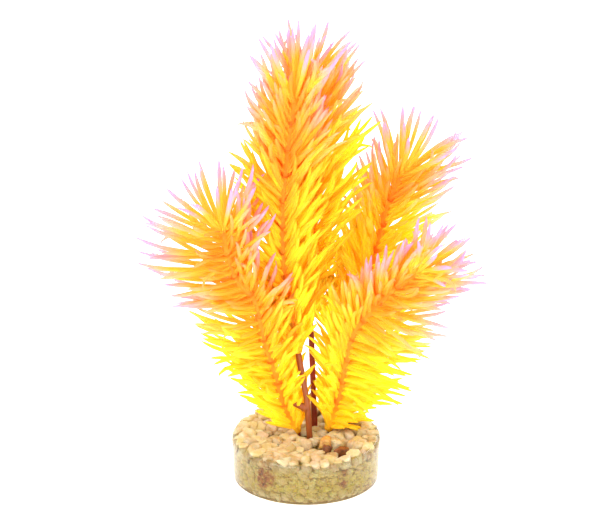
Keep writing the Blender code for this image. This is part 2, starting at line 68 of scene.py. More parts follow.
Array = NDArray[np.float64]
Colour = tuple[float, float, float, float]
Point = tuple[float, float, float]
Pair = tuple[float, float]
Stops = tuple[tuple[float, Colour | float], ...]
Random = np.random.Generator
Socket = bpy.types.NodeSocket
Material = bpy.types.Material

log = logging.getLogger("cabomba")


class Slot(Enum):
    """The record's material slots."""

    RESIN = "clear_resin"
    GRAVEL = "cream_gravel"
    AMBER = "amber_stone"
    BROWN = "brown_stone"
    TAN_ROD = "tan_rod"
    RUSSET_ROD = "russet_rod"
    YELLOW_LEAF = "yellow_leaf"
    ORANGE_LEAF = "orange_leaf"


class Closure(Enum):
    """How an end of a swept surface is closed."""

    FLAT = "one polygon across the last ring"
    POINT = "all sides run to the middle of the last ring"
    LOOP = "the last ring joins the first"


def srgb(red: float, green: float, blue: float) -> Colour:
    """A screen colour, from 0 to 255, on the sRGB curve's linear scale that shaders take."""
    linear = [((part / 255 + 0.055) / 1.055) ** 2.4 if part > 10.3 else part / 255 / 12.92
              for part in (red, green, blue)]
    return (*linear, 1.0)


def smooth_step(values: Array, low: float, high: float) -> Array:
    """Zero below low, one above high, and 3 x squared less 2 x cubed between."""
    share = np.clip((values - low) / (high - low), 0, 1)
    return share * share * (3 - 2 * share)


def spread(rng: Random, count: int, middle: float, width: float) -> Array:
    """Even random values that lie up to a width from their middle."""
    return middle + rng.uniform(-width, width, count)


def graded(values: tuple[float, ...], share: Array) -> Array:
    """Straight changes between values that are given at even steps from foot to top."""
    return np.interp(share, np.linspace(0, 1, len(values)), values)


def ring_angles(count: int) -> Array:
    """The angles of the corners of an even ring."""
    return np.arange(count) * FULL_TURN / count


@dataclass
class Surface:
    """Points and faces, with named values that the materials read at each point."""

    points: Array
    faces: list[list[int]]
    marks: dict[str, Array] = field(default_factory=dict)

    @classmethod
    def joined(cls, parts: list["Surface"]) -> "Surface":
        """Several surfaces as one, each still closed in itself.

        Args:
            parts: The surfaces. They carry the same marks.

        Returns:
            One surface with the points of all of them.
        """
        starts = np.cumsum([0] + [len(part.points) for part in parts])
        faces = [[corner + int(start) for corner in face]
                 for part, start in zip(parts, starts) for face in part.faces]
        marks = {name: np.concatenate([part.marks[name] for part in parts])
                 for name in parts[0].marks}
        return cls(np.concatenate([part.points for part in parts]), faces, marks)

    def to_object(self, name: str, material: Material,
                  crease: float = math.pi) -> bpy.types.Object:
        """The surface as a smooth mesh object at the origin.

        Args:
            name: The object's name.
            material: Its one material.
            crease: Angle between two faces, in radians, from which their edge looks sharp.

        Returns:
            The new object, linked to the scene.
        """
        mesh = bpy.data.meshes.new(name)
        mesh.from_pydata(self.points, [], self.faces)
        mesh.shade_smooth()
        mesh.set_sharp_from_angle(angle=crease)
        for mark, values in self.marks.items():
            layer = mesh.attributes.new(mark, "FLOAT", "POINT")
            layer.data.foreach_set("value", values.astype(np.float32))
        mesh.materials.append(material)
        mesh.update()
        item = bpy.data.objects.new(name, mesh)
        bpy.context.scene.collection.objects.link(item)
        return item


def swept(rings: Array, start: Closure, end: Closure,
          marks: dict[str, Array] | None = None) -> Surface:
    """Close a batch of tubes that are grids of rings by corners.

    Neighbouring rings are joined by quads. At a POINT end the outermost ring only gives the
    place of the point, which is its middle.

    Args:
        rings: Points shaped (tubes, rings, corners, 3), anticlockwise seen from the far end.
        start: How the first ring of each tube is closed.
        end: How the last ring of each tube is closed.
        marks: Values shaped (tubes, rings) for each mark, the same all round a ring.

    Returns:
        One surface that holds every tube.
    """
    marks = marks or {}
    first, last = int(start is Closure.POINT), rings.shape[1] - int(end is Closure.POINT)
    tubes, sides = rings.shape[0], rings.shape[2]
    body = rings[:, first:last]
    blocks = [body.reshape(tubes, -1, 3)]
    mark_blocks = {name: [np.repeat(values[:, first:last], sides, axis=1)]
                   for name, values in marks.items()}

    corner = np.arange(sides)
    following = (corner + 1) % sides
    level = np.arange(body.shape[1] - 1)[:, None] * sides
    quads = np.stack([level + corner, level + following, level + sides + following,
                      level + sides + corner], axis=-1).reshape(-1, 4)
    top = (body.shape[1] - 1) * sides
    patterns = [quads]
    if start is Closure.LOOP:
        patterns.append(np.stack([top + corner, top + following, following, corner], axis=-1))
    for closure, ring, base, forward in ((start, 0, 0, False), (end, -1, top, True)):
        if closure is Closure.FLAT:
            pattern = (base + corner)[None, :]
        elif closure is Closure.POINT:
            pole = sum(block.shape[1] for block in blocks)
            blocks.append(rings[:, ring].mean(axis=1, keepdims=True))
            for name, values in marks.items():
                mark_blocks[name].append(values[:, ring][:, None])
            pattern = np.stack([base + corner, base + following,
                                np.full(sides, pole)], axis=-1)
        else:
            continue
        patterns.append(pattern if forward else pattern[:, ::-1])

    points = np.concatenate(blocks, axis=1)
    shift = np.arange(tubes)[:, None, None] * points.shape[1]
    faces = [face for pattern in patterns
             for face in (pattern[None] + shift).reshape(-1, pattern.shape[1]).tolist()]
    return Surface(points.reshape(-1, 3), faces,
                   {name: np.concatenate(parts, axis=1).ravel()
                    for name, parts in mark_blocks.items()})


class Axis:
    """The smooth line that a rod follows, read by the length along it from the bed."""

    SAMPLES = 24
    BEYOND = 8 * MM

    def __init__(self, knots: tuple[Point, ...]) -> None:
        """Draw a Catmull-Rom curve through the knots: a cubic between each pair of them.

        Args:
            knots: Points of the line, in millimetres.
        """
        given = np.array(knots, float) * MM
        ends = np.vstack([2 * given[0] - given[1], given, 2 * given[-1] - given[-2]])
        share = np.linspace(0, 1, self.SAMPLES, endpoint=False)[None, :, None]
        a, b, c, d = (ends[i:len(ends) - 3 + i, None] for i in range(4))
        curve = (b + share * (c - a) / 2 + share ** 2 * (a - 2.5 * b + 2 * c - d / 2)
                 + share ** 3 * (1.5 * (b - c) + (d - a) / 2)).reshape(-1, 3)
        line = np.vstack([curve, given[-1:]])
        steps = np.linalg.norm(np.diff(line, axis=0), axis=1)
        self.length = float(steps.sum())
        onward = (line[-1] - line[-2]) / steps[-1] * self.BEYOND
        self.line = np.vstack([line, line[-1:] + onward])
        self.reach = np.concatenate([[0], np.cumsum(steps), [self.length + self.BEYOND]])

    def points(self, along: Array) -> Array:
        """Points at lengths along the line, in the lengths' shape with coordinates added."""
        return np.stack([np.interp(along, self.reach, self.line[:, k]) for k in range(3)],
                        axis=-1)

    def frames(self, along: Array) -> tuple[Array, Array, Array]:
        """Unit vectors across, upright to and along the line.

        Args:
            along: Lengths from the bed, in any shape.

        Returns:
            The two vectors across the line, and the one along it.
        """
        forward = self.points(along + MM) - self.points(np.maximum(along - MM, 0))
        forward /= np.linalg.norm(forward, axis=-1, keepdims=True)
        across = np.cross(np.array([0.0, 1.0, 0.0]), forward)
        across /= np.linalg.norm(across, axis=-1, keepdims=True)
        return across, np.cross(forward, across), forward

    def rings(self, along: Array, radius: Array, sides: int) -> Array:
        """Round sections square to the line: its point, plus radius times a unit circle.

        Args:
            along: Length of each ring from the bed.
            radius: Radius of each ring.
            sides: Corners of a ring.

        Returns:
            Points shaped (1, rings, sides, 3), as swept takes them.
        """
        across, upright, _ = self.frames(along)
        angle = ring_angles(sides)
        spoke = (np.cos(angle)[None, :, None] * across[:, None]
                 + np.sin(angle)[None, :, None] * upright[:, None])
        return (self.points(along)[:, None] + radius[:, None, None] * spoke)[None]


@dataclass(frozen=True)
class Lumps:
    """An even noise: its lumps in a metre, its finer layers, and how much closer the lumps lie
    along X, Y and Z."""

    scale: float
    detail: float = 3.0
    squeeze: Point = (1, 1, 1)


@dataclass(frozen=True)
class Relief:
    """How far apart heights of 0 and 1 lie in a relief, in metres, and how much of it shows."""

    depth: float
    strength: float


class Sketch:
    """A material under construction: nodes that are linked to its Principled shader."""

    def __init__(self, name: str) -> None:
        """Start a material with a plain Principled shader.

        Args:
            name: The material's name.
        """
        self.material = bpy.data.materials.new(name)
        self.material.use_nodes = True
        self.tree = self.material.node_tree
        self.shader = self.tree.nodes["Principled BSDF"]

    def fill(self, node: bpy.types.Node, inputs: dict[str | int, object]) -> None:
        """Set a node's inputs to plain values, or link them to outputs of other nodes.

        Args:
            node: The node.
            inputs: What goes into each input.
        """
        for name, value in inputs.items():
            if isinstance(value, Socket):
                self.tree.links.new(value, node.inputs[name])
            else:
                node.inputs[name].default_value = value

    def add(self, kind: str, output: str | int, inputs: dict[str | int, object],
            **settings: object) -> Socket:
        """Add a node.

        Args:
            kind: Its type, without the words that every shader node's type starts with.
            output: Which of its outputs is wanted.
            inputs: What goes into its inputs.
            **settings: Its other settings.

        Returns:
            The output.
        """
        node = self.tree.nodes.new(f"ShaderNode{kind}")
        for name, value in settings.items():
            setattr(node, name, value)
        self.fill(node, inputs)
        return node.outputs[output]

    def finished(self, inputs: dict[str | int, object]) -> Material:
        """The material, once the shader's own inputs are filled."""
        self.fill(self.shader, inputs)
        return self.material

    def mark(self, name: str) -> Socket:
        """The value of a mark at the point that is shaded."""
        return self.add("Attribute", "Fac", {}, attribute_name=name)

    def place(self) -> Socket:
        """The place of the point that is shaded, in the object's own coordinates."""
        return self.add("TexCoord", "Object", {})

    def noise(self, lumps: Lumps) -> Socket:
        """Even noise about one half."""
        place = self.add("Mapping", "Vector", {"Vector": self.place(), "Scale": lumps.squeeze})
        return self.add("TexNoise", "Fac", {"Vector": place, "Scale": lumps.scale,
                                            "Detail": lumps.detail})

    def ramp(self, source: Socket, stops: Stops) -> Socket:
        """A value or colour that changes with another value.

        Args:
            source: The value that it is read by.
            stops: Places from 0 to 1, each with its grey level or colour.

        Returns:
            The colour output.
        """
        output = self.add("ValToRGB", "Color", {"Fac": source})
        elements = output.node.color_ramp.elements
        while len(elements) < len(stops):
            elements.new(1.0)
        for element, (place, level) in zip(elements, stops):
            element.position = place
            element.color = level if isinstance(level, tuple) else (level, level, level, 1.0)
        return output

    def math(self, kind: str, first: object, second: object) -> Socket:
        """One arithmetic step with two values."""
        return self.add("Math", "Value", {0: first, 1: second}, operation=kind)

    def blend(self, share: object, first: object, second: object, way: str = "MIX") -> Socket:
        """Two colours blended, with a share of the second."""
        return self.add("Mix", 2, {0: share, 6: first, 7: second}, data_type="RGBA",
                        blend_type=way)

    def nearness(self, centre: Point, reach: float) -> Socket:
        """One at a point and zero from a distance of reach outwards, evenly between.

        Args:
            centre: The point.
            reach: The distance.

        Returns:
            The nearness.
        """
        away = self.add("VectorMath", "Value", {0: self.place(), 1: centre},
                        operation="DISTANCE")
        away = self.math("DIVIDE", away, reach)
        return self.math("MAXIMUM", self.math("SUBTRACT", 1.0, away), 0.0)

    def bump(self, height: Socket, relief: Relief) -> Socket:
        """The normal of a relief whose heights go from 0 to 1."""
        return self.add("Bump", "Normal", {"Height": height, "Distance": relief.depth,
                                           "Strength": relief.strength})


@dataclass(frozen=True)
class SoftLeaf:
    """Soft see-through plastic, yellow low on a plume, orange higher, pink at the upper tips.

    It reads five marks: ripeness, which is one half where yellow gives way to orange, reach
    along a needle, blush, which is how pink the tip may be, face, which is one for a needle
    straight in front or behind and makes it as orange as the spine, and an even shade that
    differs from needle to needle.
    """

    flesh: Stops = ((0.42, srgb(252, 215, 44)), (0.58, srgb(252, 205, 50)),
                    (0.76, srgb(250, 181, 58)))
    spine: Stops = ((0.0, srgb(252, 192, 40)), (0.08, srgb(252, 142, 34)),
                    (0.8, srgb(252, 148, 42)))
    end: Stops = ((0.86, srgb(242, 154, 186)), (1.0, srgb(222, 176, 224)))
    core: Stops = ((0.0, 1.0), (0.08, 0.6), (0.28, 0.0))
    core_shortness: Pair = (2.6, 1.5)
    frontal: Stops = ((0.3, 0.0), (0.7, 1.0))
    frontal_growth: Stops = ((0.15, 0.15), (0.7, 0.85))
    tip: Stops = ((0.64, 0.0), (0.98, 1.0))
    tint: Stops = ((0.0, 0.9), (1.0, 0.98))
    flesh_shake: float = 0.2
    tip_shake: float = 0.22
    softness: float = 1.0
    depth: float = 7.0 * MM
    depth_shares: Point = (1.0, 0.8, 0.5)
    roughness: float = 0.55
    refraction: float = 1.45
    gloss: float = 0.18
    grain: Lumps = Lumps(900, squeeze=(1, 1, 0.4))
    relief: Relief = Relief(0.12 * MM, 0.5)

    def material(self) -> Material:
        """Build the finish.

        Returns:
            The material.
        """
        sketch = Sketch("soft_leaf")
        ripeness, blush, face, shade, reach = (
            sketch.mark(name) for name in (*NEEDLE_MARKS, "reach"))
        shaken = sketch.math("ADD", ripeness, sketch.math("MULTIPLY", shade, self.flesh_shake))
        low, fall = self.core_shortness
        shortness = sketch.math("SUBTRACT", low, sketch.math("MULTIPLY", ripeness, fall))
        core = sketch.ramp(sketch.math("MULTIPLY", reach, shortness), self.core)
        frontal = sketch.math("MULTIPLY", sketch.ramp(face, self.frontal),
                              sketch.ramp(ripeness, self.frontal_growth))
        colour = sketch.blend(sketch.math("MAXIMUM", core, frontal),
                              sketch.ramp(shaken, self.flesh),
                              sketch.ramp(ripeness, self.spine))
        tip = sketch.ramp(
            sketch.math("ADD", reach, sketch.math("MULTIPLY", shade, self.tip_shake)), self.tip)
        colour = sketch.blend(sketch.math("MULTIPLY", tip, blush), colour,
                              sketch.ramp(reach, self.end))
        sketch.shader.subsurface_method = "BURLEY"
        return sketch.finished({
            "Base Color": sketch.blend(1.0, colour, sketch.ramp(shade, self.tint), "MULTIPLY"),
            "Roughness": self.roughness, "IOR": self.refraction,
            "Specular IOR Level": self.gloss, "Subsurface Weight": self.softness,
            "Subsurface Radius": self.depth_shares, "Subsurface Scale": self.depth,
            "Normal": sketch.bump(sketch.noise(self.grain), self.relief)})


@dataclass(frozen=True)
class MouldedRod:
    """Satin brown plastic with faint streaks along it."""

    name: str
    light: Colour
    dark: Colour
    places: Pair = (0.36, 0.62)
    roughness: float = 0.36
    softness: float = 0.1
    depth: float = 1.0 * MM
    streaks: Lumps = Lumps(700, 4.0, (1, 1, 0.08))
    blotches: Lumps = Lumps(90, 2.0)
    relief: Relief = Relief(0.15 * MM, 0.6)

    def material(self) -> Material:
        """Build the finish.

        Returns:
            The material.
        """
        sketch = Sketch(self.name)
        streaks = sketch.noise(self.streaks)
        total = sketch.math("ADD", streaks, sketch.noise(self.blotches))
        mean = sketch.math("MULTIPLY", total, 0.5)
        tones = tuple(zip(self.places, (self.dark, self.light)))
        return sketch.finished({
            "Base Color": sketch.ramp(mean, tones), "Roughness": self.roughness,
            "Subsurface Weight": self.softness, "Subsurface Scale": self.depth,
            "Normal": sketch.bump(streaks, self.relief)})


@dataclass(frozen=True)
class ClearResin:
    """Clear cast resin with a faint straw tint that deepens with thickness."""

    refraction: float = 1.5
    roughness: float = 0.04
    surface: Colour = srgb(254, 254, 250)
    depth_tint: Colour = srgb(242, 236, 168)
    depth_density: float = 55.0
    waves: Lumps = Lumps(140, 1.0)
    relief: Relief = Relief(0.05 * MM, 0.5)

    def material(self) -> Material:
        """Build the finish.

        Returns:
            The material.
        """
        sketch = Sketch("clear_resin")
        volume = sketch.add("VolumeAbsorption", "Volume",
                            {"Color": self.depth_tint, "Density": self.depth_density})
        sketch.fill(sketch.tree.nodes["Material Output"], {"Volume": volume})
        return sketch.finished({
            "Base Color": self.surface, "Transmission Weight": 1.0, "IOR": self.refraction,
            "Roughness": self.roughness,
            "Normal": sketch.bump(sketch.noise(self.waves), self.relief)})


@dataclass(frozen=True)
class CreamPebbles:
    """Cream, beige and pinkish broken pebbles, darker and greener low in the bed by painted
    shade.
    """

    tones: tuple[Colour, ...] = (
        srgb(220, 196, 126), srgb(234, 218, 160), srgb(206, 176, 116), srgb(226, 204, 132),
        srgb(194, 162, 104), srgb(236, 216, 150), srgb(220, 184, 134), srgb(232, 220, 174),
        srgb(188, 148, 82))
    grain_tone: Colour = srgb(190, 160, 120)
    grain: Stops = ((0.38, 0.28), (0.62, 0.0))
    cloud_tone: Colour = srgb(255, 246, 226)
    clouds: Stops = ((0.45, 0.0), (0.75, 0.5))
    # Painted shade: a darker, greener tint low in the bed, set by level, flecks and each stone's
    # tone.
    low_shade_tint: Colour = srgb(226, 204, 52)
    low_shade_levels: Pair = (1 * MM, 19 * MM)
    low_shade_by_level: Stops = ((0.0, 0.2), (0.12, 0.45), (0.3, 0.95), (0.85, 0.6), (1.0, 0.0))
    low_shade_flecks: Stops = ((0.35, 1.0), (0.62, 0.65))
    low_shade_by_tone: Stops = ((0.0, 1.0), (0.42, 0.6), (0.5, 1.0), (0.8, 0.65), (1.0, 1.0))
    rust: Colour = srgb(186, 116, 0)
    rust_spots: tuple[tuple[Point, float], ...] = (
        ((-0.0195, -0.0290, 0.0150), 0.0045), ((-0.0210, -0.0280, 0.0100), 0.0060),
        ((-0.0180, -0.0300, 0.0120), 0.0050), ((0.0178, -0.0300, 0.0090), 0.0032),
        ((0.0183, -0.0300, 0.0150), 0.0026))
    rust_flecks: Stops = ((0.4, 0.15), (0.56, 1.0))
    rust_strength: float = 2.2
    rust_most: float = 0.95
    roughness: float = 0.42
    gloss: float = 0.2
    softness: float = 0.12
    depth: float = 1.5 * MM
    grain_lumps: Lumps = Lumps(1600, 4.0)
    cloud_lumps: Lumps = Lumps(260)
    fleck_lumps: Lumps = Lumps(480, 2.0)
    relief: Relief = Relief(0.35 * MM, 0.7)

    def material(self) -> Material:
        """Build the finish.

        Returns:
            The material.
        """
        sketch = Sketch("cream_pebbles")
        tone = sketch.mark("tone")
        last = len(self.tones) - 1
        stone = sketch.ramp(tone, tuple((i / last, hue) for i, hue in enumerate(self.tones)))
        grain = sketch.noise(self.grain_lumps)
        clouds = sketch.noise(self.cloud_lumps)
        stone = sketch.blend(sketch.ramp(grain, self.grain), stone, self.grain_tone)
        stone = sketch.blend(sketch.ramp(clouds, self.clouds), stone, self.cloud_tone)

        # Painted shade: the stones turn darker and greener low in the bed, and deep is how
        # strongly.
        low, high = self.low_shade_levels
        height = sketch.add("SeparateXYZ", "Z", {"Vector": sketch.place()})
        level = sketch.math("DIVIDE", sketch.math("SUBTRACT", height, low), high - low)
        flecks = sketch.noise(self.fleck_lumps)
        deep = sketch.math("MULTIPLY", sketch.ramp(level, self.low_shade_by_level),
                           sketch.ramp(flecks, self.low_shade_flecks))
        deep = sketch.math("MULTIPLY", deep, sketch.ramp(tone, self.low_shade_by_tone))
        stone = sketch.blend(deep, stone, self.low_shade_tint)
        for centre, reach in self.rust_spots:
            spot = sketch.math("MULTIPLY", sketch.nearness(centre, reach), self.rust_strength)
            spot = sketch.math("MULTIPLY", spot, sketch.ramp(flecks, self.rust_flecks))
            stone = sketch.blend(sketch.math("MINIMUM", spot, self.rust_most), stone, self.rust)
        return sketch.finished({
            "Base Color": stone, "Roughness": self.roughness, "Specular IOR Level": self.gloss,
            "Subsurface Weight": self.softness, "Subsurface Scale": self.depth,
            "Normal": sketch.bump(sketch.math("ADD", grain, clouds), self.relief)})


@dataclass(frozen=True)
class LooseStone:
    """One loose stone's mottled colour."""

    name: str
    light: Colour
    dark: Colour
    roughness: float
    places: Pair = (0.35, 0.65)
    coat: float = 0.2
    mottle: Lumps = Lumps(420, 4.0)
    grain: Lumps = Lumps(900, 4.0)
    relief: Relief = Relief(0.4 * MM, 0.8)

    def material(self) -> Material:
        """Build the finish.

        Returns:
            The material.
        """
        sketch = Sketch(self.name)
        tones = tuple(zip(self.places, (self.dark, self.light)))
        return sketch.finished({
            "Base Color": sketch.ramp(sketch.noise(self.mottle), tones),
            "Roughness": self.roughness, "Coat Weight": self.coat,
            "Normal": sketch.bump(sketch.noise(self.grain), self.relief)})


@dataclass(frozen=True)
class StudioPaper:
    """The plain pale floor: a white light table that glows a little."""

    tone: Colour = srgb(250, 250, 250)
    glow: float = 0.8
    roughness: float = 0.9
    gloss: float = 0.1

    def material(self) -> Material:
        """Build the finish."""
        return Sketch("studio_paper").finished({
            "Base Color": self.tone, "Roughness": self.roughness,
            "Specular IOR Level": self.gloss, "Emission Color": self.tone,
            "Emission Strength": self.glow})


@dataclass
class Needles:
    """A batch of needles, as arrays with an entry for each. Angles are in radians."""

    along: Array
    azimuth: Array
    length: Array
    rise: Array
    bend: Array
    hook: Array
    sway: Array
    width: Array
    ripeness: Array
    blush: Array
    face: Array
    shade: Array


@dataclass(frozen=True)
class Variety:
    """How needles differ from even ones: the middle and the spread of a factor on their length
    and width, and of what is added to their rise and bend, in degrees, and to their sway."""

    length: Pair = (1.0, 0.09)
    rise: Pair = (0.0, 9.0)
    bend: Pair = (0.0, 20.0)
    sway: Pair = (0.0, 0.12)
    width: Pair = (1.0, 0.12)


@dataclass(frozen=True)
class NeedleForm:
    """How a needle's section changes from root to tip, and how finely it is drawn."""

    stations: tuple[float, ...] = (0.0, 0.06, 0.22, 0.42, 0.62, 0.8, 0.93, 1.0)
    corners: int = 6
    thickness: float = 0.95
    root: float = 0.68
    swell_end: float = 0.6
    flare: float = 0.4
    flare_fade: float = 0.04
    point: float = 10.0
    floor: float = 21.8 * MM
    ease: float = 2.0 * MM

    def width_shares(self) -> Array:
        """Width along a needle: a flared root, a fuller middle, then a slender point.

        With S for a smooth step, the share of the full width is root + (1 - root) *
        S(t / swell_end) + flare * exp(-t / flare_fade), times 1 - t to the power of point.

        Returns:
            The share at each station.
        """
        t = np.array(self.stations)
        swell = self.root + (1 - self.root) * smooth_step(t, 0, self.swell_end)
        return (swell + self.flare * np.exp(-t / self.flare_fade)) * (1 - t ** self.point)

    def sections(self, axis: Axis, batch: Needles, root_radius: float) -> Array:
        """The sections of every needle of a batch.

        A needle's direction turns in the plane that holds the rod: its angle above square to
        the rod is rise - bend * t - hook * t ** 4. The centre line is the running sum of that
        direction, plus a drift sideways of sway * length * t ** 2. No centre line comes lower
        than the floor, which it meets in an even curve. A corner at angle a round the needle
        lies half the width times cos a sideways, and half the thickness times sin a outwards.

        Args:
            axis: The plume's line.
            batch: The needles.
            root_radius: How far from the line they start.

        Returns:
            Points shaped (needles, stations, corners, 3).
        """
        t = np.array(self.stations)
        across, upright, forward = axis.frames(batch.along)
        radial = (np.cos(batch.azimuth)[:, None] * across
                  + np.sin(batch.azimuth)[:, None] * upright)
        side = np.cross(forward, radial)
        angle = (batch.rise[:, None] - batch.bend[:, None] * t - batch.hook[:, None] * t ** 4)
        heading = (np.cos(angle)[..., None] * radial[:, None]
                   + np.sin(angle)[..., None] * forward[:, None])
        outward = (np.cos(angle)[..., None] * forward[:, None]
                   - np.sin(angle)[..., None] * radial[:, None])
        steps = (heading[:, 1:] + heading[:, :-1]) / 2 * np.diff(t)[None, :, None]
        path = np.concatenate([np.zeros_like(heading[:, :1]), np.cumsum(steps, axis=1)], axis=1)
        path += batch.sway[:, None, None] * t[None, :, None] ** 2 * side[:, None]
        root = axis.points(batch.along) + radial * root_radius
        centre = root[:, None] + path * batch.length[:, None, None]
        above = centre[..., 2] - self.floor
        centre[..., 2] = self.floor + (above + np.sqrt(above ** 2 + self.ease ** 2)) / 2

        turn = ring_angles(self.corners)
        half = (batch.width[:, None] * self.width_shares() / 2)[..., None, None]
        return (centre[:, :, None]
                + half * np.cos(turn)[:, None] * side[:, None, None]
                + half * self.thickness * np.sin(turn)[:, None] * outward[:, :, None])

    def build(self, axis: Axis, batch: Needles, root_radius: float) -> Surface:
        """Every needle of a batch as one surface, capped at the root and pointed at the tip.

        Args:
            axis: The plume's line.
            batch: The needles.
            root_radius: How far from the line they start.

        Returns:
            The surface, with the marks that the leaf's finish reads.
        """
        rings = self.sections(axis, batch, root_radius)
        needles, count = rings.shape[:2]
        marks = {name: np.repeat(getattr(batch, name)[:, None], count, axis=1)
                 for name in NEEDLE_MARKS}
        marks["reach"] = np.repeat(np.array(self.stations)[None], needles, axis=0)
        return swept(rings, Closure.FLAT, Closure.POINT, marks)


@dataclass
class Plume:
    """A rod and the whorls threaded on it, each whorl a sleeve with three rings of needles.

    The knots are the rod's line above the bed, in millimetres. Outer and inner give a length in
    millimetres for the needles of each whorl, on the side that looks away from the plant's
    middle and on the side that looks to it. The rises say how far these needles stand above
    square to the rod, on an average along them, in degrees.
    """

    name: str
    rod_slot: Slot
    knots: tuple[Point, ...]
    bare: float
    outer: tuple[float, ...]
    outer_rise: tuple[float, ...]
    inner: tuple[float, ...]
    inner_rise: tuple[float, ...]
    seed: int
    skirt: float = 0.0
    yellow_to: float = 0.45
    blush_from: float = 0.45
    blush_over: float = 0.35
    outward: float = 0.0
    bends: Pair = (6.0, -26.0)
    spray: float = 0.66
    front_reach: float = 0.3
    front_blush: float = 0.05
    front_fade: float = 3.0
    curly_share: float = 0.04
    curly_hook: Pair = (95.0, 25.0)
    plain_hook: Pair = (12.0, 12.0)
    rings: int = 3
    ring_turn: float = 0.38
    ring_shake: float = 0.28
    needles: int = 13
    needle_shake: float = 0.4
    variety: Variety = Variety()
    leaf_width: float = 2.2 * MM
    fan_rise: float = 42.0
    fan_closing: float = 22.0
    fan_length: float = 36 * MM
    fan_needles: int = 20
    fan_shake: float = 0.15
    fan_levels: Pair = (-0.6 * MM, 0.8 * MM)
    fan_root: float = 0.5 * MM
    fan_variety: Variety = Variety(length=(0.97, 0.1), rise=(0.0, 8.0), bend=(-4.0, 14.0),
                                   sway=(0.0, 0.1), width=(1.05, 0.12))
    rod_radius: float = 1.5 * MM
    rod_ripple: float = 0.03
    ripple_length: float = 5 * MM
    rod_step: float = 3 * MM
    rod_sides: int = 16
    shoulder: float = 0.3 * MM
    shoulder_room: float = 0.5 * MM
    shoulder_share: float = 0.93
    threaded_radius: float = 1.1 * MM
    threaded_end: float = 0.7
    socket_floor: float = 8.3 * MM
    bore_radius: float = 1.25 * MM
    sleeve_radius: float = 2.1 * MM
    sleeve_swell: float = 0.3 * MM
    swell_width: float = 0.22
    sleeve_sides: int = 14
    sections_each: int = 4
    dome_sections: int = 5
    joint_gap: float = 0.15 * MM
    top_depth: float = 0.55
    yellow_share: float = 0.5
    form: NeedleForm = NeedleForm()

    @cached_property
    def axis(self) -> Axis:
        """The rod's line."""
        return Axis(self.knots)

    @property
    def whorls(self) -> int:
        """How many whorls are threaded on the rod."""
        return len(self.outer)

    @cached_property
    def joints(self) -> Array:
        """Lengths along the rod at which one whorl ends and the next begins."""
        joints = np.linspace(self.bare, self.axis.length, self.whorls + 1)
        return np.concatenate([[joints[0] - self.skirt], joints[1:]])

    @property
    def rod_end(self) -> float:
        """Length along the rod at which it ends, inside the closed top whorl."""
        return self.joints[-2] + self.top_depth * (self.joints[-1] - self.joints[-2])

    def ring_count(self, whorl: int) -> int:
        """Rings of needles on a whorl: one more where it has a skirt down to the bed."""
        return self.rings + (1 if whorl == 0 and self.skirt else 0)

    def ripeness(self, along: Array) -> Array:
        """Share of the way up the plume, to the power that makes it one half at yellow_to."""
        share = np.clip((along - self.bare) / (self.axis.length - self.bare), 0, 1)
        return share ** (math.log(0.5) / math.log(self.yellow_to))

    def blush(self, along: Array) -> Array:
        """How pink the tips may be: a smooth step from blush_from, over blush_over more."""
        share = (along - self.bare) / (self.axis.length - self.bare)
        return smooth_step(share, self.blush_from, self.blush_from + self.blush_over)

    def hooks(self, rng: Random, count: int) -> Array:
        """Turns at the very end of needles, in radians: small, or large on a few curly ones.

        Args:
            rng: Where they come from.
            count: How many.

        Returns:
            The turns.
        """
        curly = rng.uniform(0, 1, count) < self.curly_share
        size = np.where(curly, spread(rng, count, *self.curly_hook),
                        spread(rng, count, *self.plain_hook))
        return np.radians(size * rng.choice([-1, 1], count))

    def sided(self, outer: tuple[float, ...], inner: tuple[float, ...], share: Array,
              facing: Array) -> Array:
        """Values that change with facing, the cosine from the outer side, between two rows."""
        outside, inside = graded(outer, share), graded(inner, share)
        return (outside + inside) / 2 + (outside - inside) / 2 * facing

    def grown(self, rng: Random, variety: Variety, length: Array, rise: Array, bend: Array,
              **even: Array) -> Needles:
        """Needles that differ a little from even ones.

        Args:
            rng: Where the differences come from.
            variety: How large they are.
            length: Even lengths.
            rise: Even rises, in degrees.
            bend: Even bends, in degrees.
            **even: What stays even: along, azimuth, ripeness, blush and face.

        Returns:
            The batch.
        """
        count = len(length)
        return Needles(
            length=length * spread(rng, count, *variety.length),
            rise=np.radians(rise + spread(rng, count, *variety.rise)),
            bend=np.radians(bend + spread(rng, count, *variety.bend)),
            hook=self.hooks(rng, count), sway=spread(rng, count, *variety.sway),
            width=self.leaf_width * spread(rng, count, *variety.width),
            shade=rng.uniform(0, 1, count), **even)

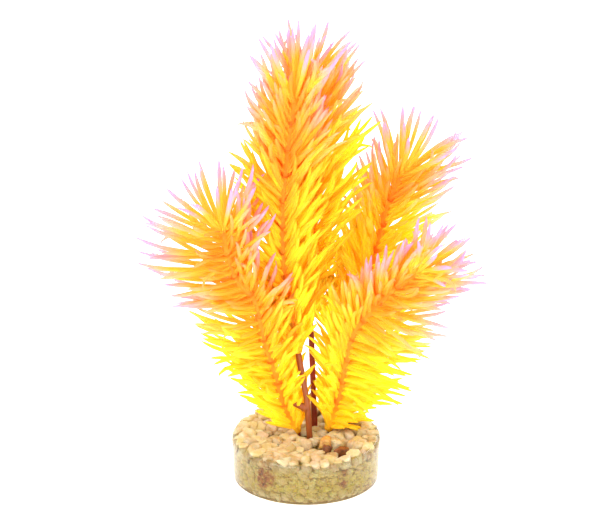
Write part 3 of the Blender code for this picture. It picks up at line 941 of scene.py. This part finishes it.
    def ring_needles(self, whorl: int) -> Needles:
        """The needles on the sides of a whorl's sleeve.

        Length and rise follow the share of the way up the plume and change by the cosine of
        the angle from its outward side. The needles stand in two sprays, to the left and to the
        right of the rod, whose angles off that line are spray times those of an even ring. They
        are shorter and less pink towards the front and the back.

        Args:
            whorl: The whorl's number, from 0 at the foot.

        Returns:
            The batch.
        """
        rng = np.random.default_rng([self.seed, whorl])
        foot, head = self.joints[whorl], self.joints[whorl + 1]
        rings = self.ring_count(whorl)
        ring = np.repeat(np.arange(rings), self.needles)
        place = np.tile(np.arange(self.needles), rings)
        count = len(ring)
        pitch = (head - foot) / rings
        along = foot + (ring + 0.5) * pitch + spread(rng, count, 0, self.ring_shake * pitch)
        step = FULL_TURN / self.needles
        azimuth = step * (place + (whorl * self.rings + ring) * self.ring_turn)
        azimuth = azimuth + spread(rng, count, 0, self.needle_shake * step)
        off_side = (azimuth + math.pi / 2) % math.pi - math.pi / 2
        azimuth = azimuth - off_side * (1 - self.spray)
        whole = (self.axis.length - self.bare) / self.whorls
        share = np.clip(((along - self.bare) / whole - 0.5) / (self.whorls - 1), 0, 1)
        facing = np.cos(azimuth - math.radians(self.outward))
        sideways = np.cos(azimuth) ** 2
        length = self.sided(self.outer, self.inner, share, facing) * MM
        length *= self.front_reach + (1 - self.front_reach) * sideways
        bend = graded(self.bends, share)
        rise = self.sided(self.outer_rise, self.inner_rise, share, facing) + bend / 2
        less = self.front_blush + (1 - self.front_blush) * sideways ** self.front_fade
        return self.grown(rng, self.variety, length, rise, bend, along=along, azimuth=azimuth,
                          ripeness=self.ripeness(along), blush=self.blush(along) * less,
                          face=1 - sideways)

    def fan_needle_batch(self) -> Needles:
        """The needles that the closed top carries, in an outer and an inner circle.

        Returns:
            The batch.
        """
        rng = np.random.default_rng([self.seed, self.whorls])
        count = self.fan_needles
        inner = np.arange(count) % 2
        azimuth = ring_angles(count) + spread(rng, count, 0, self.fan_shake)
        below, step = self.fan_levels
        ones = np.ones(count)
        return self.grown(rng, self.fan_variety, self.fan_length * ones,
                          self.fan_rise + inner * self.fan_closing, 0 * ones,
                          along=self.axis.length + below + inner * step, azimuth=azimuth,
                          ripeness=ones, blush=ones, face=0 * ones)

    def sleeve(self, whorl: int) -> Surface:
        """The round sleeve that a whorl's needles grow from, with its bore for the rod.

        Its radius is a plain one plus a swell of a bell curve at each ring of needles. The top
        one ends in a half-round dome.

        Args:
            whorl: The whorl's number, from 0 at the foot.

        Returns:
            The closed sleeve, with the needles' marks.
        """
        foot = self.joints[whorl] + self.joint_gap
        head = self.joints[whorl + 1] - self.joint_gap
        rings = self.ring_count(whorl)
        pitch = (head - foot) / rings
        along = np.linspace(foot, head, self.sections_each * rings + 1)
        phase = (along - foot) / pitch % 1 - 0.5
        radius = self.sleeve_radius + self.sleeve_swell * np.exp(-(phase / self.swell_width) ** 2)
        if whorl < self.whorls - 1:
            along = np.concatenate([along, [head, foot]])
            radius = np.concatenate([radius, [self.bore_radius] * 2])
            start = end = Closure.LOOP
        else:
            curve = np.linspace(0, math.pi / 2, self.dome_sections + 1)[1:]
            dome = self.sleeve_radius
            along = np.concatenate([[self.rod_end + 2 * self.joint_gap] * 2, [foot], along,
                                    head + dome * np.sin(curve)])
            radius = np.concatenate([[0.0], [self.bore_radius] * 2, radius,
                                     dome * np.cos(curve)])
            start = end = Closure.POINT
        count = len(along)
        marks = {"ripeness": self.ripeness(along), "blush": self.blush(along),
                 "shade": np.full(count, 0.5), "reach": np.zeros(count), "face": np.ones(count)}
        return swept(self.axis.rings(along, radius, self.sleeve_sides), start, end,
                     {name: values[None] for name, values in marks.items()})

    def whorl_surface(self, whorl: int) -> Surface:
        """A whorl: its sleeve and its needles, and the top one's fan.

        Args:
            whorl: The whorl's number, from 0 at the foot.

        Returns:
            The whorl as one surface.
        """
        parts = [self.sleeve(whorl),
                 self.form.build(self.axis, self.ring_needles(whorl), self.bore_radius)]
        if whorl == self.whorls - 1:
            parts.append(self.form.build(self.axis, self.fan_needle_batch(), self.fan_root))
        return Surface.joined(parts)

    def rod_surface(self) -> Surface:
        """The rod: round and plain up to a small rounded shoulder, then thinner to its end.

        Below the shoulder its radius ripples by a sine of the length along it.

        Returns:
            The closed rod.
        """
        bare = np.arange(0, self.bare - self.shoulder_room, self.rod_step)
        thin = np.linspace(self.bare, self.joints[-2], self.sections_each * self.whorls)
        end, edge = self.rod_end, self.shoulder
        along = np.concatenate([bare, [self.bare - edge], thin, [end - edge, end, end]])
        radius = np.concatenate([
            self.rod_radius * (1 + self.rod_ripple * np.sin(bare / self.ripple_length)),
            [self.rod_radius * self.shoulder_share],
            np.full(len(thin) + 1, self.threaded_radius),
            [self.threaded_radius * self.threaded_end, 0]])
        rings = self.axis.rings(along, radius, self.rod_sides)
        buried = rings[:, :1].copy()
        buried[..., 2] = self.socket_floor
        return swept(np.concatenate([buried, rings], axis=1), Closure.FLAT, Closure.POINT)

    def build(self, leaf: Material, rod: Material) -> None:
        """Make the rod and the whorls, dressed and set to ride on the frame.

        Args:
            leaf: The needles' and sleeves' finish.
            rod: The rod's finish.
        """
        install(self.rod_surface().to_object(f"rod_{self.name}", rod),
                f"{self.name}_rod")
        for whorl in range(self.whorls):
            number = f"{whorl + 1:02d}"
            piece = self.whorl_surface(whorl).to_object(f"leaves_{self.name}_{number}", leaf)
            install(piece,
                    f"{self.name}_whorl_{number}")


@dataclass
class PeggedPlume(Plume):
    """A plume whose rod keeps the cut stump of a side shoot."""

    peg_level: float = 15.4 * MM
    peg_length: float = 7.4 * MM
    peg_rise: float = 26.0
    peg_root: Pair = (2.3 * MM, 1.7 * MM)
    peg_end: Pair = (1.5 * MM, 1.2 * MM)
    peg_cut: float = 1.5 * MM
    peg_cut_from: float = 0.55
    peg_rings: int = 7
    peg_sides: int = 14

    def peg(self) -> Surface:
        """The stump: an oval tube out to the left and up, narrower outwards, cut at a slant.

        A ring's height and depth shrink evenly from root to end, and the rings past
        peg_cut_from lean more and more: each corner moves along the stump by the cut times its
        height's share.

        Returns:
            The closed stump.
        """
        share = np.linspace(0, 1, self.peg_rings)
        angle = math.radians(self.peg_rise)
        heading = np.array([-math.cos(angle), 0, math.sin(angle)])
        upward = np.array([math.sin(angle), 0, math.cos(angle)])
        depthward = np.cross(heading, upward)
        turn = ring_angles(self.peg_sides)
        tall, deep = (root + (end - root) * share
                      for root, end in zip(self.peg_root, self.peg_end))
        root = self.axis.points(np.array([self.peg_level]))[0]
        slant = np.maximum(share - self.peg_cut_from, 0) / (1 - self.peg_cut_from)
        lean = self.peg_cut * slant[:, None] * np.sin(turn)
        out = (self.peg_length * share)[:, None] - lean
        rings = (root + out[..., None] * heading
                 + (tall[:, None] * np.sin(turn))[..., None] * upward
                 + (deep[:, None] * np.cos(turn))[..., None] * -depthward)
        return swept(rings[None], Closure.FLAT, Closure.FLAT)

    def rod_surface(self) -> Surface:
        """The rod and its stump."""
        return Surface.joined([super().rod_surface(), self.peg()])


@dataclass(frozen=True)
class PebbleForm:
    """Broken pebbles with softened edges, drawn as a globe of rings between two poles."""

    rings: int = 5
    sides: int = 8
    facets: int = 12
    facet_distances: Pair = (0.78, 1.08)
    facet_skew: float = 0.2
    hardness: float = 11.0
    half_sizes: Pair = (2.5 * MM, 3.3 * MM)
    flatness: Pair = (0.68, 0.92)
    tilt: float = 0.45

    def globe(self) -> Array:
        """Unit directions, with the first and last rows at the poles.

        Returns:
            Directions shaped (rings + 2, sides, 3).
        """
        polar = np.linspace(math.pi, 0, self.rings + 2)[:, None]
        turn = ring_angles(self.sides)[None] + polar
        return np.stack([np.sin(polar) * np.cos(turn), np.sin(polar) * np.sin(turn),
                         np.cos(polar) * np.ones_like(turn)], axis=-1)

    def stones(self, rng: Random, count: int) -> Array:
        """Unit stones, each a different softened polyhedron.

        In a direction d the radius is the sum, over the facets, of (d . n / distance) to the
        power of hardness where that is positive, taken to the power of -1 / hardness.

        Args:
            rng: Where the facets come from.
            count: How many stones.

        Returns:
            Points shaped (count, rings + 2, sides, 3).
        """
        globe = self.globe()
        normals = rng.normal(size=(count, self.facets, 3))
        normals[:, :6] = np.vstack([np.eye(3), -np.eye(3)]) + normals[:, :6] * self.facet_skew
        normals /= np.linalg.norm(normals, axis=-1, keepdims=True)
        distance = rng.uniform(*self.facet_distances, (count, self.facets))
        facing = np.einsum("rsk,cfk->crsf", globe, normals) / distance[:, None, None]
        radius = (np.maximum(facing, 0) ** self.hardness).sum(axis=-1) ** (-1 / self.hardness)
        return radius[..., None] * globe

    def placed(self, rng: Random, centres: Array, size: float = 1.0) -> Array:
        """Stones at their places, each stretched and turned its own way.

        Args:
            rng: Where shapes, sizes and turns come from.
            centres: Their centres, shaped (count, 3).
            size: A factor on their sizes.

        Returns:
            Points shaped (count, rings + 2, sides, 3).
        """
        count = len(centres)
        half = rng.uniform(*self.half_sizes, (count, 3)) * size
        half[:, 2] *= rng.uniform(*self.flatness, count)
        yaw, tilt = rng.uniform(0, FULL_TURN, count), rng.uniform(-1, 1, count) * self.tilt
        turns = turned_about(2, yaw) @ turned_about(0, tilt)
        points = np.einsum("cij,crsj->crsi", turns, self.stones(rng, count)
                           * half[:, None, None])
        return points + centres[:, None, None]


def toned(rng: Random, points: Array) -> Surface:
    """Stones closed to one surface, with a random mark tone for the colour of each."""
    tone = np.repeat(rng.uniform(0, 1, (len(points), 1)), points.shape[1], axis=1)
    return swept(points, Closure.POINT, Closure.POINT, {"tone": tone})


def turned_about(axis: int, angles: Array) -> Array:
    """Rotation matrices about one axis.

    Args:
        axis: 0 for X or 2 for Z.
        angles: The angles, shaped (count,).

    Returns:
        Matrices shaped (count, 3, 3).
    """
    first, second = [k for k in range(3) if k != axis]
    matrices = np.zeros((len(angles), 3, 3))
    matrices[:, axis, axis] = 1
    matrices[:, first, first] = matrices[:, second, second] = np.cos(angles)
    matrices[:, second, first] = np.sin(angles)
    matrices[:, first, second] = -np.sin(angles)
    return matrices


def turned_profile(radii: Array, levels: Array, sides: int) -> Array:
    """A profile turned round the Z axis: radius times a unit circle, at each level.

    Args:
        radii: Radius of each ring.
        levels: Height of each ring.
        sides: Corners of a ring.

    Returns:
        Points shaped (1, rings, sides, 3).
    """
    angle = ring_angles(sides)
    flat = radii[:, None, None] * np.stack([np.cos(angle), np.sin(angle)], axis=-1)
    height = np.broadcast_to(levels[:, None, None], (len(levels), sides, 1))
    return np.concatenate([flat, height], axis=-1)[None]


@dataclass
class PebbleBed:
    """The pebbles: a top layer that is heaped towards the rim, rows just inside the resin's side
    with grit between them, and a layer below."""

    foot_reach: float = 35.9 * MM
    rim_reach: float = 36.9 * MM
    rim_level: float = 18.0 * MM
    floor: float = 0.4 * MM
    wall_levels: tuple[float, ...] = (3.8 * MM, 7.6 * MM, 11.4 * MM, 15.0 * MM, 18.4 * MM)
    wall_spacing: float = 5.5 * MM
    wall_size: float = 0.9
    wall_shake: float = 0.3
    wall_gap: float = 0.6 * MM
    grit_rows: int = 9
    grit_spacing: float = 3.1 * MM
    grit_levels: Pair = (1.9 * MM, 17.0 * MM)
    grit_depth: float = 2.0 * MM
    spacing: float = 5.6 * MM
    lattice_steps: int = 7
    jitter: float = 0.9 * MM
    level_jitter: float = 0.7 * MM
    deep_level: float = 15.2 * MM
    deep_reach: float = 31 * MM
    top_level: float = 19.0 * MM
    top_reach: float = 32.0 * MM
    edge_reach: float = 34.2 * MM
    edge_spacing: float = 5.3 * MM
    edge_shake: float = 0.35
    edge_places: Pair = (-1.4 * MM, 0.2 * MM)
    edge_levels: Pair = (-1.6 * MM, 0.4 * MM)
    heap: float = 3.2 * MM
    heap_from: float = 18 * MM
    heap_lean: float = 0.6
    back_lift: float = 3.0 * MM
    keep_clear: tuple[Point, ...] = ()
    core_depth: float = 2.4 * MM
    core_levels: Pair = (0.8 * MM, 16.0 * MM)
    core_tone: float = 1.0
    core_rings: int = 6
    core_sides: int = 72
    crease: float = math.radians(24)
    seed: int = 7
    top_form: PebbleForm = PebbleForm(rings=8, sides=12, hardness=18, tilt=0.55,
                                      half_sizes=(2.5 * MM, 3.6 * MM), flatness=(0.72, 0.98))
    wall_form: PebbleForm = PebbleForm()
    grit_form: PebbleForm = PebbleForm(rings=3, sides=6, facets=8,
                                       half_sizes=(1.0 * MM, 1.9 * MM))

    def wall_reach(self, level: Array) -> Array:
        """How far out stones may reach: a radius that grows evenly from foot to rim."""
        return self.foot_reach + (self.rim_reach - self.foot_reach) * level / self.rim_level

    def wall_centres(self, rng: Random, levels: Array, spacing: float, depth: float) -> Array:
        """Centres of rows inside the resin's side, each turned half a stone from the next.

        Behind, they rise by back_lift times the level over the rim's times the sine of the
        angle, up to the higher heap there.

        Args:
            rng: Where the shaking comes from.
            levels: Height of each row.
            spacing: Distance between neighbours in a row.
            depth: How far the centres lie inside the stones' reach.

        Returns:
            The centres.
        """
        count = int(FULL_TURN * (self.foot_reach - depth) / spacing)
        row = np.repeat(np.arange(len(levels)), count)
        angle = (np.tile(np.arange(count), len(levels)) + row / 2
                 + spread(rng, len(row), 0, self.wall_shake)) * FULL_TURN / count
        level = levels[row] + spread(rng, len(row), 0, self.level_jitter)
        level += self.back_lift * level / self.rim_level * np.maximum(np.sin(angle), 0)
        radius = self.wall_reach(level) - depth - rng.uniform(0, self.wall_gap, len(row))
        return np.stack([radius * np.cos(angle), radius * np.sin(angle), level], axis=-1)

    def layer_centres(self, rng: Random, level: float, reach: float) -> Array:
        """Centres of one layer, on a shaken triangular lattice within a reach.

        Args:
            rng: Where the shaking comes from.
            level: The layer's height.
            reach: Its radius.

        Returns:
            The centres.
        """
        steps = np.arange(-self.lattice_steps, self.lattice_steps + 1)
        column, row = (grid.ravel() for grid in np.meshgrid(steps, steps))
        flat = np.stack([(column + row % 2 / 2) * self.spacing,
                         row * self.spacing * math.sqrt(3) / 2], axis=-1)
        flat += rng.uniform(-self.jitter, self.jitter, flat.shape)
        flat = flat[np.hypot(*flat.T) < reach]
        return np.column_stack([flat, spread(rng, len(flat), level, self.level_jitter)])

    def top_centres(self, rng: Random) -> Array:
        """Centres of the top layer and of the ring of stones along its edge.

        They are lifted by the heap times a smooth step of the radius, which is larger at the
        back: times 1 + heap_lean * y / radius. Stones within a clear place's reach are left
        out.

        Args:
            rng: Where the shaking comes from.

        Returns:
            The centres.
        """
        inner = self.layer_centres(rng, self.top_level, self.top_reach)
        count = int(FULL_TURN * self.edge_reach / self.edge_spacing)
        angle = (np.arange(count) + spread(rng, count, 0, self.edge_shake)) * FULL_TURN / count
        radius = self.edge_reach + rng.uniform(*self.edge_places, count)
        edge = np.stack([radius * np.cos(angle), radius * np.sin(angle),
                         self.top_level + rng.uniform(*self.edge_levels, count)], axis=-1)
        centres = np.concatenate([inner, edge])
        radius = np.hypot(centres[:, 0], centres[:, 1])
        lean = centres[:, 1] / np.maximum(radius, MM)
        centres[:, 2] += (self.heap * smooth_step(radius, self.heap_from, self.edge_reach)
                          * (1 + self.heap_lean * lean))
        clear = np.array(self.keep_clear)
        away = np.linalg.norm(centres[:, None, :2] - clear[None, :, :2], axis=-1)
        return centres[(away > clear[:, 2]).all(axis=1)]

    def settled(self, points: Array, outwards: bool) -> Array:
        """Move stones inwards and upwards, each as far as it passes the reach and the floor.

        Args:
            points: The stones' points.
            outwards: Whether a stone that falls short of the reach also moves out to it.

        Returns:
            The points in their new places.
        """
        excess = (np.hypot(points[..., 0], points[..., 1])
                  - self.wall_reach(points[..., 2])).max(axis=(1, 2))
        if not outwards:
            excess = np.maximum(excess, 0)
        centre = points.mean(axis=(1, 2))[:, :2]
        inward = -centre / np.linalg.norm(centre, axis=-1, keepdims=True)
        sunk = np.maximum(self.floor - points[..., 2].min(axis=(1, 2)), 0)
        shift = np.column_stack([inward * excess[:, None], sunk])
        return points + shift[:, None, None]

    def core(self) -> Surface:
        """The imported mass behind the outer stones, as one drum that leans as they do.

        Returns:
            The closed drum.
        """
        levels = np.linspace(*self.core_levels, self.core_rings)
        radii = self.wall_reach(levels) - self.core_depth
        radii = np.concatenate([[0, radii[0] / 2], radii, [radii[-1] / 2, 0]])
        levels = np.concatenate([levels[:1], levels[:1], levels, levels[-1:], levels[-1:]])
        return swept(turned_profile(radii, levels, self.core_sides), Closure.POINT,
                     Closure.POINT, {"tone": np.full((1, len(radii)), self.core_tone)})

    def surface(self) -> Surface:
        """All the pebbles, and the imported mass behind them.

        Returns:
            The whole bed.
        """
        rng = np.random.default_rng(self.seed)
        depth = self.wall_form.half_sizes[1] * self.wall_size
        rows = np.linspace(*self.grit_levels, self.grit_rows)
        outer = self.wall_form.placed(
            rng, self.wall_centres(rng, np.array(self.wall_levels), self.wall_spacing, depth),
            self.wall_size)
        grit = self.grit_form.placed(
            rng, self.wall_centres(rng, rows, self.grit_spacing, self.grit_depth))
        top = self.top_form.placed(rng, self.top_centres(rng))
        deep = self.wall_form.placed(
            rng, self.layer_centres(rng, self.deep_level, self.deep_reach))
        stones = [self.settled(outer, True), self.settled(grit, False),
                  self.settled(top, False), deep]
        return Surface.joined([self.core()] + [toned(rng, points) for points in stones])

    def build(self, finish: Material) -> None:
        """Make the bed, dressed and set to ride on the frame."""
        install(self.surface().to_object("pebbles", finish, self.crease),
                "gravel_bed")


@dataclass
class ClearPuck:
    """The clear resin that the pebbles are cast in: a low disc with a rounded foot and an uneven
    top, hollowed towards the middle, which the top stones hide."""

    foot_radius: float = 36.6 * MM
    rim_radius: float = 37.5 * MM
    height: float = 22.0 * MM
    hollow: float = 5.0 * MM
    hollow_radii: Point = (0.9, 0.5, 0.0)
    hollow_depths: Point = (0.4, 1.0, 1.0)
    foot_round: float = 0.8 * MM
    rim_round: float = 2.4 * MM
    ripples: tuple[Point, ...] = (
        (1, 0.0, 0.6 * MM), (2, math.pi / 2, 1.2 * MM), (3, 0.5, 0.4 * MM),
        (7, 2.0, 0.35 * MM), (13, 4.0, 0.25 * MM))
    round_sections: int = 7
    wall_sections: int = 8
    sides: int = 144

    def surface(self) -> Surface:
        """The disc: flat foot, quarter-round corner, leaning wall, quarter-round rim, low top.

        The rim is lifted by a sum of sines of the angle, and what lies elsewhere by that times
        the square of its share of the height and of its share of the radius. A ripple gives
        its waves round the rim, where they start and how high they are.

        Returns:
            The closed disc.
        """
        quarter = np.linspace(0, math.pi / 2, self.round_sections)
        foot_r = self.foot_radius - self.foot_round * (1 - np.sin(quarter))
        foot_z = self.foot_round * (1 - np.cos(quarter))
        share = np.linspace(0, 1, self.wall_sections + 1)[1:]
        wall_top = self.height - self.rim_round
        wall_r = self.foot_radius + (self.rim_radius - self.foot_radius) * share
        wall_z = self.foot_round + (wall_top - self.foot_round) * share
        rim_r = self.rim_radius - self.rim_round * (1 - np.cos(quarter[1:]))
        rim_z = wall_top + self.rim_round * np.sin(quarter[1:])
        inner = rim_r[-1] * np.array(self.hollow_radii)
        radii = np.concatenate([[0, foot_r[0] / 2], foot_r, wall_r, rim_r, inner])
        low_top = self.height - self.hollow * np.array(self.hollow_depths)
        levels = np.concatenate([[0, 0], foot_z, wall_z, rim_z, low_top])
        rings = turned_profile(radii, levels, self.sides)
        angle = ring_angles(self.sides)
        lift = sum(size * np.sin(waves * angle + start) for waves, start, size in self.ripples)
        reach = (levels / self.height * radii / self.rim_radius) ** 2
        rings[..., 2] += lift * reach[:, None]
        return swept(rings, Closure.POINT, Closure.POINT)

    def build(self, finish: Material) -> None:
        """Make the disc, dressed and set to ride on the frame."""
        install(self.surface().to_object("resin", finish), "resin_base")


@dataclass
class StoneOnTop:
    """A loose stone that lies on the bed, drawn in the place of its solid."""

    node: str
    slot: Slot
    seed: int
    growth: float = 0.15
    crease: float = math.radians(24)
    form: PebbleForm = PebbleForm(rings=10, sides=14, hardness=20)

    def build(self, finish: Material) -> None:
        """Make the stone: one unit pebble, stretched to the solid's box and a little more.

        Args:
            finish: The stone's finish.
        """
        low, high = (np.array(corner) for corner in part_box(self.node))
        low, high = low - (high - low) * self.growth, high + (high - low) * self.growth
        stone = self.form.stones(np.random.default_rng(self.seed), 1)
        least, most = stone.min(axis=(0, 1, 2)), stone.max(axis=(0, 1, 2))
        points = low + (stone - least) / (most - least) * (high - low)
        surface = swept(points, Closure.POINT, Closure.POINT)
        install(surface.to_object(f"loose_{self.node}", finish, self.crease),
                self.node)


@dataclass
class Studio:
    """A wide pale floor, soft white light from all round, two soft lamps and the camera.

    A lamp's entry is its name, its place, its side in metres and its power in watts.
    """

    camera_place: Point = (-3.04 * MM, -900 * MM, 412 * MM)
    camera_pitch: float = 18.36
    focal_pixels: float = 1941.0
    image_width: int = 600
    sensor: float = 36.0
    sight: float = 50.0
    floor_size: float = 6.0
    floor_gap: float = 0.02 * MM
    sky: float = 1.25
    lamps: tuple[tuple[str, Point, float, float], ...] = (
        ("key", (-0.7, -0.8, 1.3), 0.9, 6.0), ("back", (0.6, 0.9, 0.9), 0.8, 6.0))
    lamp_aim: Point = (0.0, 0.0, 0.1)
    bounces: int = 12
    clear_bounces: int = 20

    def add_camera(self) -> None:
        """Place the camera level, looking along +Y and down by its pitch."""
        data = bpy.data.cameras.new("camera")
        data.sensor_width = self.sensor
        data.lens = self.focal_pixels * self.sensor / self.image_width
        data.clip_end = self.sight
        camera = bpy.data.objects.new("camera", data)
        camera.location = self.camera_place
        camera.rotation_euler = (math.radians(90 - self.camera_pitch), 0, 0)
        bpy.context.scene.collection.objects.link(camera)
        bpy.context.scene.camera = camera

    def add_floor(self) -> None:
        """Lay the floor just under the base."""
        half = self.floor_size / 2
        corners = np.array([(-half, -half, 0), (half, -half, 0), (half, half, 0),
                            (-half, half, 0)])
        floor = Surface(corners - (0, 0, self.floor_gap), [[0, 1, 2, 3]])
        floor.to_object("floor", StudioPaper().material())

    def add_lamp(self, name: str, place: Point, size: float, power: float) -> None:
        """Hang a square lamp that faces the plant's middle.

        Args:
            name: The lamp's name.
            place: Where it hangs.
            size: Its side, in metres.
            power: Its power, in watts.
        """
        data = bpy.data.lights.new(name, "AREA")
        data.size = size
        data.energy = power
        lamp = bpy.data.objects.new(name, data)
        lamp.location = place
        x, y, z = np.array(place) - self.lamp_aim
        lamp.rotation_euler = (math.atan2(math.hypot(x, y), z), 0,
                               math.atan2(y, x) + math.pi / 2)
        bpy.context.scene.collection.objects.link(lamp)

    def add_sky(self) -> None:
        """Light the scene evenly from all round."""
        world = bpy.data.worlds.new("sky")
        world.use_nodes = True
        background = world.node_tree.nodes["Background"]
        background.inputs["Color"].default_value = (1, 1, 1, 1)
        background.inputs["Strength"].default_value = self.sky
        bpy.context.scene.world = world

    def build(self) -> None:
        """Set up the whole studio."""
        self.add_camera()
        self.add_floor()
        self.add_sky()
        for lamp in self.lamps:
            self.add_lamp(*lamp)
        settings = bpy.context.scene.view_settings
        settings.view_transform = "Standard"
        settings.look = "None"
        paths = bpy.context.scene.cycles
        paths.diffuse_bounces = paths.glossy_bounces = self.bounces
        paths.transmission_bounces = paths.max_bounces = self.clear_bounces


PLUMES = (
    PeggedPlume("front", Slot.TAN_ROD,
                ((1.8, 0.6, 20), (0.3, 0.7, 40), (-3.4, 0.9, 62), (-7.4, 1.1, 88),
                 (-11.2, 1.4, 116), (-11.2, 1.5, 140), (-9.2, 1.8, 166), (-5.2, 2, 195)),
                bare=46 * MM, outer=(22, 26, 30, 35, 37, 36, 34, 33, 33, 32),
                outer_rise=(66, 60, 58, 58, 58, 51, 50, 50, 49, 55),
                inner=(28, 31, 33, 35, 35, 35, 35, 34, 32, 30),
                inner_rise=(58, 53, 51, 51, 54, 54, 58, 59, 64, 70), seed=1, outward=180,
                yellow_to=0.6, blush_from=0.58, fan_rise=54, fan_needles=13),
    Plume("left", Slot.TAN_ROD,
          ((-4.1, 7.5, 20), (-11, 4.3, 37), (-16.2, 1.2, 57), (-21.3, -2.4, 76),
           (-25, -5.3, 95), (-34.2, -8.6, 108), (-38, -11, 121), (-40, -13.5, 134)),
          bare=4.5 * MM, outer=(22, 28, 31, 34, 36, 35, 38, 47, 40),
          outer_rise=(57, 37, 34, 30, 22, 24, 50, 22, 30),
          inner=(21, 25, 28, 29, 27, 25, 30, 34, 30),
          inner_rise=(53, 50, 46, 50, 54, 50, 42, 46, 56), seed=2, skirt=4.3 * MM,
          outward=180, bends=(-8, -22), yellow_to=0.44, blush_from=0.4),
    Plume("right_front", Slot.TAN_ROD,
          ((11.2, 10, 20), (16, 4.8, 39), (19, 0.4, 58), (23.4, -4.4, 78),
           (32.5, -9.6, 92.5), (43, -14.2, 105), (53, -18, 114)),
          bare=5 * MM, outer=(22, 33, 34, 38, 38, 39, 36, 38),
          outer_rise=(30, 10, 6, 6, 15, 37, 44, 66),
          inner=(25, 31, 36, 36, 31, 27, 27, 27),
          inner_rise=(58, 62, 66, 68, 58, 53, 54, 64), seed=6, skirt=4.8 * MM,
          bends=(30, -30), yellow_to=0.54, blush_from=0.45, fan_length=31 * MM),
    Plume("rear", Slot.RUSSET_ROD,
          ((4.5, 13.8, 20), (3.6, 14.6, 42), (2.7, 15.4, 67), (1.5, 16.3, 92),
           (2.6, 17.2, 117), (2.9, 18, 142), (2.2, 18.9, 167), (0.8, 20, 197)),
          bare=57 * MM, outer=(22, 27, 33, 37, 39, 41, 38, 36, 34),
          outer_rise=(52, 51, 52, 50, 48, 49, 49, 42, 48),
          inner=(24, 27, 30, 33, 35, 35, 35, 34, 33),
          inner_rise=(60, 56, 52, 50, 50, 52, 55, 60, 66), seed=4, yellow_to=0.74,
          blush_from=0.62, fan_rise=48, fan_length=33 * MM, fan_needles=13),
    Plume("right_back", Slot.RUSSET_ROD,
          ((12.5, 20, 20), (17.2, 21.4, 43), (22.3, 23.2, 68), (29, 25, 92.5),
           (36, 26.8, 115.5), (40.2, 28, 133), (47, 29, 149)),
          bare=10 * MM, outer=(25, 28, 32, 34, 36, 36, 36, 36, 38),
          outer_rise=(39, 35, 33, 33, 35, 38, 41, 40, 50),
          inner=(24, 29, 35, 38, 38, 36, 34, 32, 31),
          inner_rise=(59, 57, 56, 53, 52, 52, 56, 57, 59), seed=5, skirt=5 * MM,
          yellow_to=0.84, blush_from=0.55, fan_length=37 * MM),
)

# Places on the bed that top stones keep clear of, in millimetres: X, Y and a radius. The first
# are the rods' feet, and the others are under the three loose stones.
FOOT_ROOM = 3.6
CLEAR_PLACES = tuple((*plume.knots[0][:2], FOOT_ROOM) for plume in PLUMES) + (
    (9.5, -7.5, 4.8), (10.5, -15, 4.8), (17.5, -18.5, 5.6))


def install(piece: bpy.types.Object, node: str) -> None:
    """Set a piece on the frame in the place of a solid, and report it.

    Args:
        piece: The piece.
        node: The solid that it stands for.
    """
    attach(piece, BODY)
    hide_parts(node)
    log.info("%s: %d faces, for %s", piece.name, len(piece.data.polygons), node)


def main() -> None:
    """Build the studio, then every piece in order."""
    logging.basicConfig(level=logging.INFO, format="%(message)s")
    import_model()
    Studio().build()

    ClearPuck().build(ClearResin().material())
    clear = tuple((x * MM, y * MM, reach * MM) for x, y, reach in CLEAR_PLACES)
    PebbleBed(keep_clear=clear).build(CreamPebbles().material())
    amber = LooseStone("amber_stone", srgb(240, 190, 100), srgb(206, 132, 50), 0.35).material()
    brown = LooseStone("brown_stone", srgb(164, 98, 44), srgb(104, 54, 18), 0.6).material()
    StoneOnTop("amber_pebble", Slot.AMBER, seed=21).build(amber)
    StoneOnTop("small_brown_pebble", Slot.BROWN, seed=22).build(brown)
    StoneOnTop("large_brown_pebble", Slot.BROWN, seed=23).build(brown)

    leaf = SoftLeaf().material()
    rods = {
        Slot.TAN_ROD: MouldedRod("tan_rod", srgb(178, 92, 34), srgb(134, 62, 20)).material(),
        Slot.RUSSET_ROD: MouldedRod("russet_rod", srgb(166, 52, 16), srgb(112, 30, 8)).material(),
    }
    for plume in PLUMES:
        plume.build(leaf, rods[plume.rod_slot])


if __name__ == "__main__":
    main()
